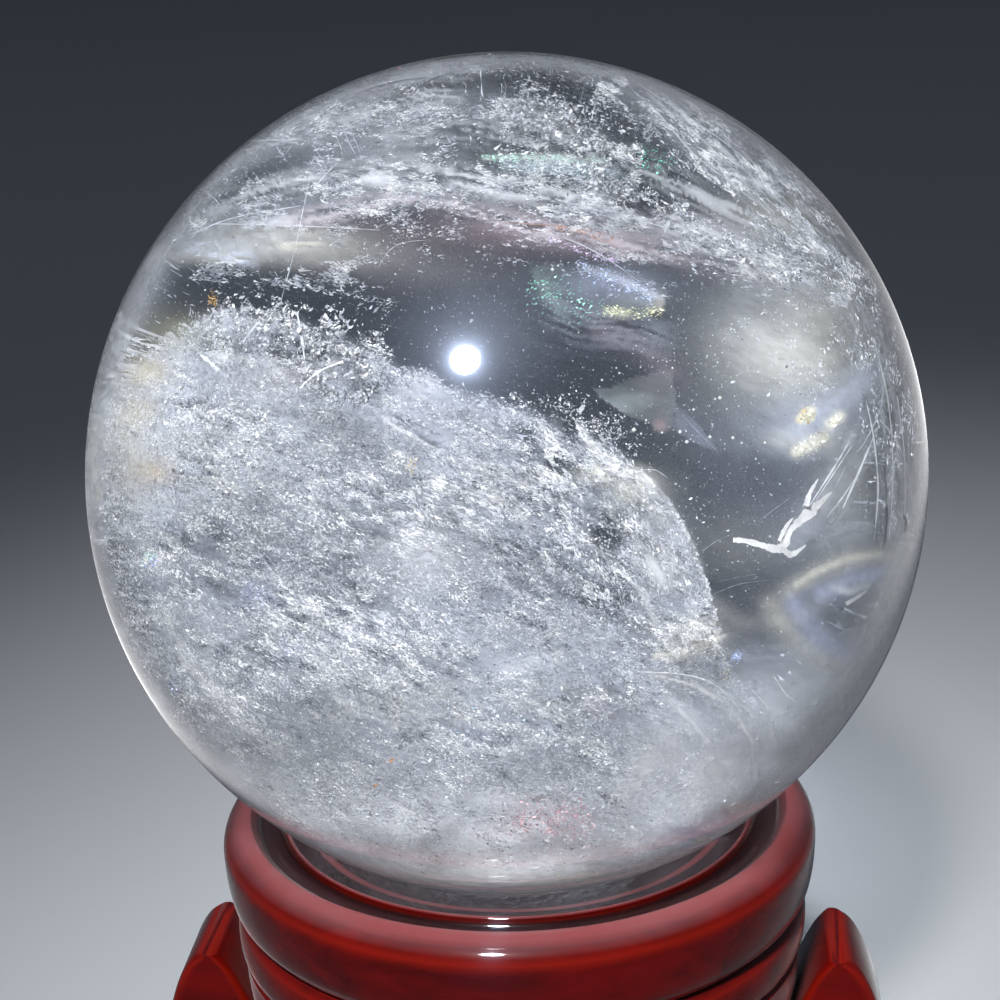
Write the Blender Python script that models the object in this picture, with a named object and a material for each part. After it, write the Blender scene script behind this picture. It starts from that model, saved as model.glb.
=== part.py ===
"""A polished clear quartz sphere on its lacquered wooden stand.

The sphere lies in the dished seat of a turned drum, and four carved bracket legs glued round
the drum stand on the table. Metres, +Z up, origin on the table under the sphere's centre.
"""

import math

import bmesh
import bpy

MM = 0.001

# Driving dimensions
SPHERE_RADIUS = 52.5 * MM
SPHERE_CENTRE_HEIGHT = 98.5 * MM
TOUCH_GAP = 0.3 * MM  # between pieces that touch

# The turned drum, as radii and heights
DRUM_BASE_HEIGHT = 17.0 * MM
BOWL_FLAT_RADIUS = 27.5 * MM  # where the flat underside turns up into the bowl
BOWL_BULGE = 9.9 * MM
BOWL_TOP_HEIGHT = 33.5 * MM
LOWER_GROOVE = (37.5 * MM, 34.7 * MM)
UPPER_GROOVE = (37.6 * MM, 41.3 * MM)
GROOVE_HALF_WIDTH = 0.5 * MM
GROOVE_DEPTH = 0.9 * MM
BEAD_RADIUS = 38.1 * MM  # the low bead between the two grooves
RIM_FOOT = (38.6 * MM, 43.9 * MM)
RIM_RADIUS = 39.3 * MM
RIM_TOP_HEIGHT = 53.3 * MM
RIM_ROUNDING = 3.8 * MM
COVE_OUTER_RADIUS = 34.5 * MM  # the shallow cove inside the rim
COVE_TOP_HEIGHT = 52.5 * MM
COVE_DEPTH = 1.3 * MM
LIP = (30.9 * MM, 52.7 * MM)  # fine raised line inside the cove
LIP_HALF_WIDTH = 0.4 * MM
LIP_INNER_HEIGHT = 52.0 * MM
SEAT_RADIUS = 22.5 * MM  # the sphere touches from here inwards
SEAT_INNER_RADIUS = 15.0 * MM
RELIEF_FLOOR = (12.0 * MM, 44.5 * MM)  # shallow hollow that keeps the sphere's foot clear

# The bracket legs, seen from the side: distance from the drum's axis, and height
LEG_NAMES = ("leg_right", "leg_back", "leg_left", "leg_front")
CREST = (42.2 * MM, 33.0 * MM)
CREST_HALF_DEPTH = 0.9 * MM
KNEE = (49.3 * MM, 17.0 * MM)
ANKLE = (44.6 * MM, 5.4 * MM)
TOE = (49.0 * MM, 1.1 * MM)
SOLE = (48.5 * MM, 0.0)
HEEL = (37.0 * MM, 0.0)
BRACKET_END_RADIUS = 22.0 * MM  # where the leg tapers off under the drum
BRACKET_THICKNESS = 3.4 * MM
KNEE_WIDTH = 15.0 * MM
ANKLE_WIDTH = 10.5 * MM
TOE_WIDTH = 13.0 * MM
LEG_EDGE_ROUNDING = 1.4 * MM

# Facets
SPHERE_SEGMENTS = 64
SPHERE_RINGS = 32
DRUM_SEGMENTS = 48
BOWL_STEPS = 7
GLUED_STEPS = 4  # of the bowl's steps, how many a leg is glued to
SEAT_STEPS = 3
SHARP_ANGLE = math.radians(35)


def material(name, colour, roughness, metallic=0.0, transmission=0.0, ior=1.5):
    finish = bpy.data.materials.new(name)
    finish.use_nodes = True
    shader = finish.node_tree.nodes["Principled BSDF"]
    shader.inputs["Base Color"].default_value = (*colour, 1.0)
    shader.inputs["Roughness"].default_value = roughness
    shader.inputs["Metallic"].default_value = metallic
    shader.inputs["Transmission Weight"].default_value = transmission
    shader.inputs["IOR"].default_value = ior
    return finish


def finished_mesh(bm, name, finish):
    """Turns a worked shape into a mesh with its finish, smooth on its round faces."""
    bmesh.ops.recalc_face_normals(bm, faces=bm.faces)
    mesh = bpy.data.meshes.new(name)
    bm.to_mesh(mesh)
    bm.free()
    mesh.materials.append(finish)
    mesh.shade_smooth()
    mesh.set_sharp_from_angle(angle=SHARP_ANGLE)
    return mesh


def place(name, data):
    placed = bpy.data.objects.new(name, data)
    bpy.context.scene.collection.objects.link(placed)
    return placed


def arc(centre, radii, start, end, steps):
    """Points along an ellipse from one angle to another, in degrees, both ends included."""
    points = []
    for step in range(steps + 1):
        angle = math.radians(start + (end - start) * step / steps)
        across = centre[0] + radii[0] * math.cos(angle)
        up = centre[1] + radii[1] * math.sin(angle)
        points.append((across, up))
    return points


def curve_through(start, pull_a, pull_b, end, steps):
    """Points of a cubic curve from start to end, drawn towards two pull points, start left out."""
    points = []
    for step in range(1, steps + 1):
        t = step / steps
        u = 1 - t
        weights = (u**3, 3 * u * u * t, 3 * u * t * t, t**3)
        corners = (start, pull_a, pull_b, end)
        points.append(tuple(sum(w * p[axis] for w, p in zip(weights, corners)) for axis in (0, 1)))
    return points


def ring_faces(bm, low, high):
    """Joins two loops of points that have the same count with a band of faces."""
    for step in range(len(low)):
        after = (step + 1) % len(low)
        bm.faces.new((low[step], low[after], high[after], high[step]))


def groove(place_on_wall):
    """A V-shaped line cut into the drum's wall, from below to above."""
    radius, height = place_on_wall
    return [
        (radius, height - GROOVE_HALF_WIDTH),
        (radius - GROOVE_DEPTH, height),
        (radius, height + GROOVE_HALF_WIDTH),
    ]


def bowl_arc(gap, steps):
    """The drum's rounded lower part, up from its flat underside, standing off by a gap."""
    centre = (BOWL_FLAT_RADIUS, BOWL_TOP_HEIGHT)
    radii = (BOWL_BULGE + gap, BOWL_TOP_HEIGHT - DRUM_BASE_HEIGHT + gap)
    return arc(centre, radii, -90, -90 + 90 * steps / BOWL_STEPS, steps)


def seat_point(radius):
    """A point of the dished seat, a touch gap away from the sphere's surface."""
    reach = SPHERE_RADIUS + TOUCH_GAP
    return radius, SPHERE_CENTRE_HEIGHT - math.sqrt(reach * reach - radius * radius)


def drum_profile():
    """The turned outline, up the outside from the underside and in to the hollow."""
    profile = bowl_arc(0.0, BOWL_STEPS)
    profile += groove(LOWER_GROOVE)
    profile.append((BEAD_RADIUS, (LOWER_GROOVE[1] + UPPER_GROOVE[1]) / 2))
    profile += groove(UPPER_GROOVE)
    profile.append(RIM_FOOT)
    rounding_centre = (RIM_RADIUS - RIM_ROUNDING, RIM_TOP_HEIGHT - RIM_ROUNDING)
    profile += arc(rounding_centre, (RIM_ROUNDING, RIM_ROUNDING), 0, 90, 5)
    cove_inner_radius = LIP[0] + LIP_HALF_WIDTH
    cove_centre = ((COVE_OUTER_RADIUS + cove_inner_radius) / 2, COVE_TOP_HEIGHT)
    cove_radii = ((COVE_OUTER_RADIUS - cove_inner_radius) / 2, COVE_DEPTH)
    profile += arc(cove_centre, cove_radii, 0, -180, 4)
    profile.append(LIP)
    profile.append((LIP[0] - LIP_HALF_WIDTH, LIP_INNER_HEIGHT))
    for step in range(SEAT_STEPS + 1):
        share = step / SEAT_STEPS
        profile.append(seat_point(SEAT_RADIUS + (SEAT_INNER_RADIUS - SEAT_RADIUS) * share))
    profile.append(RELIEF_FLOOR)
    return profile


def leg_front_curve():
    """The leg's outer side, from the crest down over the toe to the table."""
    crest = (CREST[0] + CREST_HALF_DEPTH, CREST[1])
    curve = [crest]
    curve += curve_through(crest, (45.7 * MM, 33.0 * MM), (48.7 * MM, 24.5 * MM), KNEE, 7)
    curve += curve_through(KNEE, (49.5 * MM, 11.8 * MM), (44.8 * MM, 9.6 * MM), ANKLE, 5)
    curve += curve_through(ANKLE, (44.5 * MM, 2.8 * MM), (46.8 * MM, 2.4 * MM), TOE, 3)
    curve.append(SOLE)
    return curve


def leg_back_curve():
    """The leg's inner side, with as many points as the outer: down to where it is glued to the
    drum, in under the drum, and out again to the heel."""
    crest = (CREST[0] - CREST_HALF_DEPTH, CREST[1])
    glued = bowl_arc(TOUCH_GAP, GLUED_STEPS)[::-1]
    bracket_top = (BRACKET_END_RADIUS, glued[-1][1])
    bracket_end = (BRACKET_END_RADIUS, glued[-1][1] - BRACKET_THICKNESS)
    curve = [crest]
    curve += curve_through(crest, (39.0 * MM, 31.8 * MM), (37.4 * MM, 25.8 * MM), glued[0], 4)
    curve += glued[1:] + [bracket_top, bracket_end]
    curve += curve_through(bracket_end, (34.0 * MM, 12.2 * MM), (35.2 * MM, 6.6 * MM), HEEL, 6)
    return curve


def leg_width(height):
    """The leg is widest at the knee, narrow at the ankle and wider again at the toe."""
    if height < ANKLE[1]:
        return TOE_WIDTH + (ANKLE_WIDTH - TOE_WIDTH) * height / ANKLE[1]
    share = min(1.0, (height - ANKLE[1]) / (KNEE[1] - ANKLE[1]))
    smooth = share * share * (3 - 2 * share)
    return ANKLE_WIDTH + (KNEE_WIDTH - ANKLE_WIDTH) * smooth


def leg_section(front, back, width):
    """One slice across the leg, from its outer to its inner side, with rounded corners."""
    depth = math.dist(front, back)
    rounding = min(LEG_EDGE_ROUNDING, 0.45 * depth)
    near, far, wide = rounding, depth - rounding, width / 2 - rounding
    corners = (((near, wide), 180), ((far, wide), 90), ((far, -wide), 0), ((near, -wide), -90))
    section = []
    for centre, start in corners:
        for along, across in arc(centre, (rounding, rounding), start, start - 90, 2):
            share = along / depth
            outwards = front[0] + (back[0] - front[0]) * share
            height = front[1] + (back[1] - front[1]) * share
            section.append((outwards, across, height))
    return section


def make_sphere(finish):
    bm = bmesh.new()
    bmesh.ops.create_uvsphere(
        bm, u_segments=SPHERE_SEGMENTS, v_segments=SPHERE_RINGS, radius=SPHERE_RADIUS
    )
    sphere = place("quartz_sphere", finished_mesh(bm, "quartz_sphere", finish))
    sphere.location.z = SPHERE_CENTRE_HEIGHT


def make_drum(finish):
    bm = bmesh.new()
    rings = []
    for radius, height in drum_profile():
        ring = []
        for step in range(DRUM_SEGMENTS):
            angle = 2 * math.pi * step / DRUM_SEGMENTS
            ring.append(bm.verts.new((radius * math.cos(angle), radius * math.sin(angle), height)))
        rings.append(ring)
    for low, high in zip(rings, rings[1:]):
        ring_faces(bm, low, high)
    bm.faces.new(rings[0])
    bm.faces.new(rings[-1])
    place("stand_drum", finished_mesh(bm, "stand_drum", finish))


def make_legs(finish):
    """Four like legs, evenly round the drum."""
    bm = bmesh.new()
    sections = []
    for front, back in zip(leg_front_curve(), leg_back_curve(), strict=True):
        section = leg_section(front, back, leg_width(front[1]))
        sections.append([bm.verts.new(point) for point in section])
    for high, low in zip(sections, sections[1:]):
        ring_faces(bm, high, low)
    bm.faces.new(sections[0])
    bm.faces.new(sections[-1])
    mesh = finished_mesh(bm, "stand_leg", finish)
    hub = place("leg_hub", None)
    for number, name in enumerate(LEG_NAMES):
        leg = place(name, mesh)
        leg.parent = hub
        leg.rotation_euler.z = 2 * math.pi * number / len(LEG_NAMES)


for old in list(bpy.data.objects):
    bpy.data.objects.remove(old, do_unlink=True)
quartz = material("clear_quartz", (0.93, 0.94, 0.96), 0.02, transmission=1.0, ior=1.544)
lacquer = material("red_lacquer", (0.28, 0.02, 0.015), 0.18)
make_sphere(quartz)
make_drum(lacquer)
make_legs(lacquer)
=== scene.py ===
"""A polished ball of clear rock crystal, clouded inside, lying in its red lacquered wooden stand."""

import math

import bpy
import numpy as np
from mathutils import Matrix, Vector


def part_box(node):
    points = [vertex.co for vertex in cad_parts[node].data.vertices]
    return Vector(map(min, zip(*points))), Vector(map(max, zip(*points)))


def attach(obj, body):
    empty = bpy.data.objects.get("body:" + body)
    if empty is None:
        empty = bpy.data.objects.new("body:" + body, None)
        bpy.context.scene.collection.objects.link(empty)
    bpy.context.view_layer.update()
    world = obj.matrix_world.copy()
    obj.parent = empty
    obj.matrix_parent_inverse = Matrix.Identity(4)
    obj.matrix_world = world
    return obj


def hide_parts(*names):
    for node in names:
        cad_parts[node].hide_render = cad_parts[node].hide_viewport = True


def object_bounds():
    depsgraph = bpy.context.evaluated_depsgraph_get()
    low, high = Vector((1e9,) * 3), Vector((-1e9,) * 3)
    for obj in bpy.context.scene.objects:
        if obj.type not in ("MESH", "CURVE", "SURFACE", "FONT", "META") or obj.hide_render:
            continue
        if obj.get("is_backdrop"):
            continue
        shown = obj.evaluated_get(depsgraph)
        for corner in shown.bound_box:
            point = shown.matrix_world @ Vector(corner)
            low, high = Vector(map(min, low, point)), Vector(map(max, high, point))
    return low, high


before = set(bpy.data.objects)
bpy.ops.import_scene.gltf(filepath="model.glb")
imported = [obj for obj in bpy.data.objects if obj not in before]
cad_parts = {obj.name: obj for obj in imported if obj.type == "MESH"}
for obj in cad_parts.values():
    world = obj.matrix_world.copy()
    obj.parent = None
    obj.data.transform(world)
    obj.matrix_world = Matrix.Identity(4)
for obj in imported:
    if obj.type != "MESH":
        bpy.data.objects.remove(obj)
cad_low, cad_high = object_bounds()

# The drum of the stand is turned on a lathe from one block of hardwood and lacquered deep red.
# Under its rounded rim two V lines are cut; inside it a shallow cove and one fine raised line
# run round the dished seat that the ball lies in.
# A pair below is a radius and a height.
MM = 0.001
DRUM_SEGMENTS = 160
DRUM_BASE_HEIGHT = 17.0 * MM
BOWL_FLAT_RADIUS = 27.5 * MM
BOWL_BULGE = 9.9 * MM
BOWL_TOP_HEIGHT = 33.5 * MM
LOWER_GROOVE = (37.5 * MM, 34.7 * MM)
UPPER_GROOVE = (37.6 * MM, 41.3 * MM)
GROOVE_HALF_WIDTH = 0.5 * MM
GROOVE_DEPTH = 0.9 * MM
BEAD_BULGE = 0.5 * MM
RIM_RADIUS = 39.3 * MM
RIM_WALL_MIDDLE_HEIGHT = 49.5 * MM
RIM_WALL_BULGE = 1.4 * MM
RIM_WALL_HALF_HEIGHT = 7.0 * MM
RIM_TOP_HEIGHT = 53.3 * MM
RIM_ROUNDING = 3.8 * MM
COVE_OUTER_RADIUS = 34.5 * MM
COVE_TOP_HEIGHT = 52.5 * MM
COVE_DEPTH = 1.3 * MM
LIP = (30.9 * MM, 52.7 * MM)
LIP_HALF_WIDTH = 0.4 * MM
LIP_INNER_HEIGHT = 52.0 * MM
SEAT_RADIUS = 22.5 * MM
SEAT_INNER_RADIUS = 15.0 * MM
SEAT_CLEARANCE = 0.3 * MM
RELIEF_FLOOR = (12.0 * MM, 44.5 * MM)
LACQUER_DARK = (0.024, 0.0005, 0.0006, 1)
LACQUER_RED = (0.088, 0.0012, 0.0009, 1)
# Orange laid on the lacquer's shoulders as painted glow
LACQUER_PAINTED_GLOW = (0.17, 0.006, 0.002, 1)
# Pinkish grey laid on the rim's top as painted reflection
POLISH_PAINTED_REFLECTION = (0.27, 0.13, 0.145, 1)
GRAIN_STRETCH = (26, 240, 240)  # close across the grain, long with it
SHOULDER_PAINTED_GLOW = (  # how far a face looks up, and how much of the painted glow it shows
    (0.0, 0.02), (0.14, 0.25), (0.32, 0.7), (0.52, 0.3), (0.75, 0.08), (1.0, 0.02),
)
# Painted shade inside the rim, where the ball shades the seat and the cove:
SEAT_SHADE_REACH = 40  # mm from the axis
SEAT_SHADE_RINGS = (  # mm from the axis, and how much of the lacquer's colour shows there
    (26.6, 0.1), (27.0, 0.8), (27.6, 0.8), (28.0, 0.1), (30.3, 0.1), (30.7, 0.9), (31.1, 0.9), (31.5, 0.1),
    (34.2, 0.14), (35.6, 1.0),
)
SEAT_SHADE_DARKEST = 0.1
SEAT_SHADE_FLOOR = (47.0 * MM, 47.5 * MM)  # the painted shade lies only above this height
PIP_SIZE = 0.09


def arc(centre, radii, start, end, steps):
    """Points along an ellipse from one angle to another, in degrees, both ends included."""
    angles = np.radians(np.linspace(start, end, steps + 1))
    across = centre[0] + radii[0] * np.cos(angles)
    up = centre[1] + radii[1] * np.sin(angles)
    return list(zip(across, up))


def v_line(place_on_wall):
    """A V line with softened lips, from below to above."""
    radius, height = place_on_wall
    half, deep = GROOVE_HALF_WIDTH, GROOVE_DEPTH
    return [
        (radius, height - 1.3 * half),
        (radius - 0.1 * deep, height - half),
        (radius - 0.8 * deep, height - 0.3 * half),
        (radius - deep, height),
        (radius - 0.8 * deep, height + 0.3 * half),
        (radius - 0.1 * deep, height + half),
        (radius, height + 1.3 * half),
    ]


def smooth_mesh(name, points, faces, sharp_degrees=50):
    """A mesh shaded smooth, apart from edges that turn more sharply than so many degrees."""
    mesh = bpy.data.meshes.new(name)
    mesh.from_pydata([tuple(p) for p in points], [], faces)
    mesh.shade_smooth()
    mesh.set_sharp_from_angle(angle=math.radians(sharp_degrees))
    made = bpy.data.objects.new(name, mesh)
    bpy.context.scene.collection.objects.link(made)
    return made


def banded(rings, size):
    """Faces between loops of points, each loop of one size, with both ends closed."""
    faces = []
    for ring in range(rings - 1):
        for step in range(size):
            after = (step + 1) % size
            low, high = ring * size, (ring + 1) * size
            faces.append((low + step, low + after, high + after, high + step))
    faces.append(tuple(reversed(range(size))))
    faces.append(tuple(range((rings - 1) * size, rings * size)))
    return faces


def nodes_for(name):
    """A new material: its node maker, its link maker and its Principled shader."""
    finish = bpy.data.materials.new(name)
    finish.use_nodes = True
    tree = finish.node_tree

    def add(kind, **settings):
        node = tree.nodes.new(kind)
        for key, value in settings.items():
            if hasattr(node, key):
                setattr(node, key, value)
            else:
                node.inputs[key].default_value = value
        return node

    return finish, add, tree.links.new, tree.nodes["Principled BSDF"]


def ranged(add, link, value, span, result):
    """A value moved from one span of numbers to another, and held at both ends."""
    moved = add("ShaderNodeMapRange")
    for socket, number in zip(("From Min", "From Max", "To Min", "To Max"), (*span, *result)):
        moved.inputs[socket].default_value = number
    link(value, moved.inputs["Value"])
    return moved.outputs["Result"]


def product(add, link, one, other):
    """Two values multiplied."""
    both = add("ShaderNodeMath", operation="MULTIPLY")
    link(one, both.inputs[0])
    link(other, both.inputs[1])
    return both.outputs["Value"]


def two_tones(add, link, value, low, high):
    """A colour between two, each given with the value that it stands at."""
    ramp = add("ShaderNodeValToRGB")
    for stop, (position, colour) in zip(ramp.color_ramp.elements, (low, high)):
        stop.position = position
        stop.color = colour
    link(value, ramp.inputs["Fac"])
    return ramp.outputs["Color"]


def greys(add, link, value, stops):
    """A ramp of greys, each given with the value that it stands at."""
    ramp = add("ShaderNodeValToRGB")
    for position, level in stops:
        stop = ramp.color_ramp.elements.new(position)
        stop.color = (level, level, level, 1)
    link(value, ramp.inputs["Fac"])
    return ramp


def blended(add, link, under, over, share, **settings):
    """One colour laid over another by a share; over is a colour or another node's output."""
    mix = add("ShaderNodeMix", data_type="RGBA", **settings)
    link(share, mix.inputs["Factor"])
    link(under, mix.inputs["A"])
    if isinstance(over, tuple):
        mix.inputs["B"].default_value = over
    else:
        link(over, mix.inputs["B"])
    return mix.outputs["Result"]


def lacquer_finish():
    """Red lacquer over close grain: darker in the dips, with a painted orange glow where it turns over."""
    finish, add, link, shader = nodes_for("red_lacquer")
    place = add("ShaderNodeTexCoord").outputs["Object"]
    stretched = add("ShaderNodeMapping")
    stretched.inputs["Scale"].default_value = GRAIN_STRETCH
    link(place, stretched.inputs["Vector"])
    grain = add("ShaderNodeTexNoise", Scale=1.0, Detail=6.0, Roughness=0.6, Distortion=0.6)
    link(stretched.outputs["Vector"], grain.inputs["Vector"])
    depth = two_tones(add, link, grain.outputs["Fac"], (0.25, LACQUER_DARK), (0.62, LACQUER_RED))
    # Painted glow: shoulders and faces that turn partly up are made orange where the lamp would light them
    facing = add("ShaderNodeSeparateXYZ")
    link(add("ShaderNodeNewGeometry").outputs["Normal"], facing.inputs["Vector"])
    shoulder = greys(add, link, facing.outputs["Z"], SHOULDER_PAINTED_GLOW)
    painted_glow = blended(add, link, depth, LACQUER_PAINTED_GLOW, shoulder.outputs["Color"])
    # Painted shade: inside the rim the lacquer is made nearly black, apart from the raised lip and one thin
    # ring inside it
    flat = add("ShaderNodeVectorMath", operation="MULTIPLY")
    flat.inputs[1].default_value = (1, 1, 0)
    link(place, flat.inputs[0])
    from_axis = add("ShaderNodeVectorMath", operation="LENGTH")
    link(flat.outputs["Vector"], from_axis.inputs[0])
    outward = ranged(add, link, from_axis.outputs["Value"], (0.0, SEAT_SHADE_REACH * MM), (0.0, 1.0))
    seat_shade = greys(add, link, outward, [(radius / SEAT_SHADE_REACH, level) for radius, level in SEAT_SHADE_RINGS])
    seat_shade.color_ramp.elements[0].color = (SEAT_SHADE_DARKEST, SEAT_SHADE_DARKEST, SEAT_SHADE_DARKEST, 1)
    upward = add("ShaderNodeSeparateXYZ")
    link(place, upward.inputs["Vector"])
    high = ranged(add, link, upward.outputs["Z"], SEAT_SHADE_FLOOR, (0.0, 1.0))
    # Painted reflection: in patches where the lacquer lies level, on top of the rim, it is made pinkish
    # grey, as if it mirrored the ball above
    level = ranged(add, link, facing.outputs["Z"], (0.5, 1.0), (0.0, 0.8))
    patchy = add("ShaderNodeTexNoise", Scale=55.0, Detail=3.0, Roughness=0.6)
    link(place, patchy.inputs["Vector"])
    painted_reflection_share = product(add, link, product(add, link, level, patchy.outputs["Fac"]), high)
    with_painted_reflection = blended(add, link, painted_glow, POLISH_PAINTED_REFLECTION, painted_reflection_share)
    with_seat_shade = blended(add, link, with_painted_reflection, seat_shade.outputs["Color"], high, blend_type="MULTIPLY")
    link(with_seat_shade, shader.inputs["Base Color"])
    # Pooled lacquer has a faint ripple, and dust lies under it as pips
    ripple = add("ShaderNodeTexNoise", Scale=160.0, Detail=2.0)
    link(place, ripple.inputs["Vector"])
    pips = add("ShaderNodeTexVoronoi", Scale=330.0)
    link(place, pips.inputs["Vector"])
    height = add("ShaderNodeMath", operation="MULTIPLY_ADD")
    link(ranged(add, link, pips.outputs["Distance"], (0.0, PIP_SIZE), (1.0, 0.0)), height.inputs[0])
    height.inputs[1].default_value = 0.25
    link(ripple.outputs["Fac"], height.inputs[2])
    bump = add("ShaderNodeBump", Strength=0.12, Distance=0.0006)
    link(height.outputs["Value"], bump.inputs["Height"])
    link(bump.outputs["Normal"], shader.inputs["Normal"])
    link(bump.outputs["Normal"], shader.inputs["Coat Normal"])
    shader.inputs["Roughness"].default_value = 0.34
    shader.inputs["Specular IOR Level"].default_value = 0.02
    shader.inputs["Sheen Weight"].default_value = 0.15
    shader.inputs["Sheen Roughness"].default_value = 0.3
    shader.inputs["Coat Weight"].default_value = 1.0
    shader.inputs["Coat Roughness"].default_value = 0.045
    shader.inputs["Coat IOR"].default_value = 1.55
    return finish


ball_low, ball_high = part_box("quartz_sphere")
BALL_RADIUS = (ball_high.z - ball_low.z) / 2
BALL_CENTRE = np.array((ball_low + ball_high) / 2)
seat_reach = BALL_RADIUS + SEAT_CLEARANCE
drum_profile = arc(
    (BOWL_FLAT_RADIUS, BOWL_TOP_HEIGHT),
    (BOWL_BULGE, BOWL_TOP_HEIGHT - DRUM_BASE_HEIGHT), -90, 0, 24,
)
drum_profile += v_line(LOWER_GROOVE)
bead_middle = (LOWER_GROOVE[1] + UPPER_GROOVE[1]) / 2
bead_half = (UPPER_GROOVE[1] - LOWER_GROOVE[1]) / 2 - 1.5 * GROOVE_HALF_WIDTH
drum_profile += arc((UPPER_GROOVE[0], bead_middle), (BEAD_BULGE, bead_half), -80, 80, 10)
drum_profile += v_line(UPPER_GROOVE)
drum_profile += arc(
    (RIM_RADIUS - RIM_WALL_BULGE, RIM_WALL_MIDDLE_HEIGHT),
    (RIM_WALL_BULGE, RIM_WALL_HALF_HEIGHT), -76, -8, 8,
)
drum_profile += arc(
    (RIM_RADIUS - RIM_ROUNDING, RIM_TOP_HEIGHT - RIM_ROUNDING),
    (RIM_ROUNDING, RIM_ROUNDING), 0, 90, 18,
)
cove_inner_radius = LIP[0] + LIP_HALF_WIDTH
drum_profile += arc(
    ((COVE_OUTER_RADIUS + cove_inner_radius) / 2, COVE_TOP_HEIGHT),
    ((COVE_OUTER_RADIUS - cove_inner_radius) / 2, COVE_DEPTH), 0, -180, 14,
)
drum_profile += arc((LIP[0], LIP_INNER_HEIGHT), (LIP_HALF_WIDTH, LIP[1] - LIP_INNER_HEIGHT), 0, 180, 8)
for seat_radius in np.linspace(SEAT_RADIUS, SEAT_INNER_RADIUS, 8):
    drop = math.sqrt(seat_reach**2 - seat_radius**2)
    drum_profile.append((seat_radius, BALL_CENTRE[2] - drop))
drum_profile.append(RELIEF_FLOOR)
turns = np.linspace(0, 2 * np.pi, DRUM_SEGMENTS, endpoint=False)
drum_points = [
    (radius * math.cos(turn), radius * math.sin(turn), height)
    for radius, height in drum_profile for turn in turns
]
drum = smooth_mesh("turned_drum", drum_points, banded(len(drum_profile), DRUM_SEGMENTS), 40)
lacquer = lacquer_finish()
drum.data.materials.append(lacquer)
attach(drum, "root")
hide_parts("stand_drum")

# Four bracket legs are sawn from board, rounded over with a file and glued round the drum.
# Each has a rolled knee, a slim ankle and a turned-out toe, in the same red lacquer.
CREST = (42.2 * MM, 33.0 * MM)
CREST_HALF_DEPTH = 0.9 * MM
KNEE = (49.3 * MM, 17.0 * MM)
ANKLE = (44.6 * MM, 5.4 * MM)
TOE = (49.0 * MM, 1.1 * MM)
SOLE = (48.5 * MM, 0.0)
HEEL = (37.0 * MM, 0.0)
BRACKET_END_RADIUS = 22.0 * MM
BRACKET_THICKNESS = 3.4 * MM
GLUE_GAP = 0.3 * MM
KNEE_WIDTH = 15.0 * MM
ANKLE_WIDTH = 10.5 * MM
TOE_WIDTH = 13.0 * MM
LEG_EDGE_ROUNDING = 1.4 * MM
FINER = 4  # points of the fine leg for each of the solid's


def pulled(start, pull_a, pull_b, end, steps):
    """Points of a cubic curve between two ends, drawn towards two pull points, start left out."""
    t = np.linspace(0, 1, steps * FINER + 1)[1:, None]
    u = 1 - t
    corners = [np.array(p) / MM for p in (start, pull_a, pull_b, end)]
    curve = u**3 * corners[0] + 3 * u * u * t * corners[1] + 3 * u * t * t * corners[2] + t**3 * corners[3]
    return [tuple(p) for p in curve * MM]


def straight(start, end):
    return pulled(start, start, end, end, 1)


def leg_sides():
    """The outer and the inner side of a leg, with as many points each."""
    front = [(CREST[0] + CREST_HALF_DEPTH, CREST[1])]
    front += pulled(front[0], (45.7 * MM, 33.0 * MM), (48.7 * MM, 24.5 * MM), KNEE, 7)
    front += pulled(KNEE, (49.5 * MM, 11.8 * MM), (44.8 * MM, 9.6 * MM), ANKLE, 5)
    front += pulled(ANKLE, (44.5 * MM, 2.8 * MM), (46.8 * MM, 2.4 * MM), TOE, 3)
    front += straight(TOE, SOLE)
    centre = (BOWL_FLAT_RADIUS, BOWL_TOP_HEIGHT)
    radii = (BOWL_BULGE + GLUE_GAP, BOWL_TOP_HEIGHT - DRUM_BASE_HEIGHT + GLUE_GAP)
    glued = arc(centre, radii, -90 + 90 * 4 / 7, -90, 4 * FINER)
    bracket_top = (BRACKET_END_RADIUS, glued[-1][1])
    bracket_end = (BRACKET_END_RADIUS, glued[-1][1] - BRACKET_THICKNESS)
    back = [(CREST[0] - CREST_HALF_DEPTH, CREST[1])]
    back += pulled(back[0], (39.0 * MM, 31.8 * MM), (37.4 * MM, 25.8 * MM), glued[0], 4)
    back += glued[1:] + straight(glued[-1], bracket_top) + straight(bracket_top, bracket_end)
    back += pulled(bracket_end, (34.0 * MM, 12.2 * MM), (35.2 * MM, 6.6 * MM), HEEL, 6)
    return front, back


def leg_width(height):
    if height < ANKLE[1]:
        return TOE_WIDTH + (ANKLE_WIDTH - TOE_WIDTH) * height / ANKLE[1]
    share = min(1.0, (height - ANKLE[1]) / (KNEE[1] - ANKLE[1]))
    return ANKLE_WIDTH + (KNEE_WIDTH - ANKLE_WIDTH) * share * share * (3 - 2 * share)


def leg_slice(front, back):
    """One slice across the leg, from its outer to its inner side, with rounded corners."""
    depth, width = math.dist(front, back), leg_width(front[1])
    rounding = min(LEG_EDGE_ROUNDING, 0.45 * depth)
    near, far, wide = rounding, depth - rounding, width / 2 - rounding
    corners = (((near, wide), 180), ((far, wide), 90), ((far, -wide), 0), ((near, -wide), -90))
    points = []
    for centre, start in corners:
        for along, across in arc(centre, (rounding, rounding), start, start - 90, 6):
            share = along / depth
            outwards = front[0] + (back[0] - front[0]) * share
            points.append((outwards, across, front[1] + (back[1] - front[1]) * share))
    return points


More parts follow.
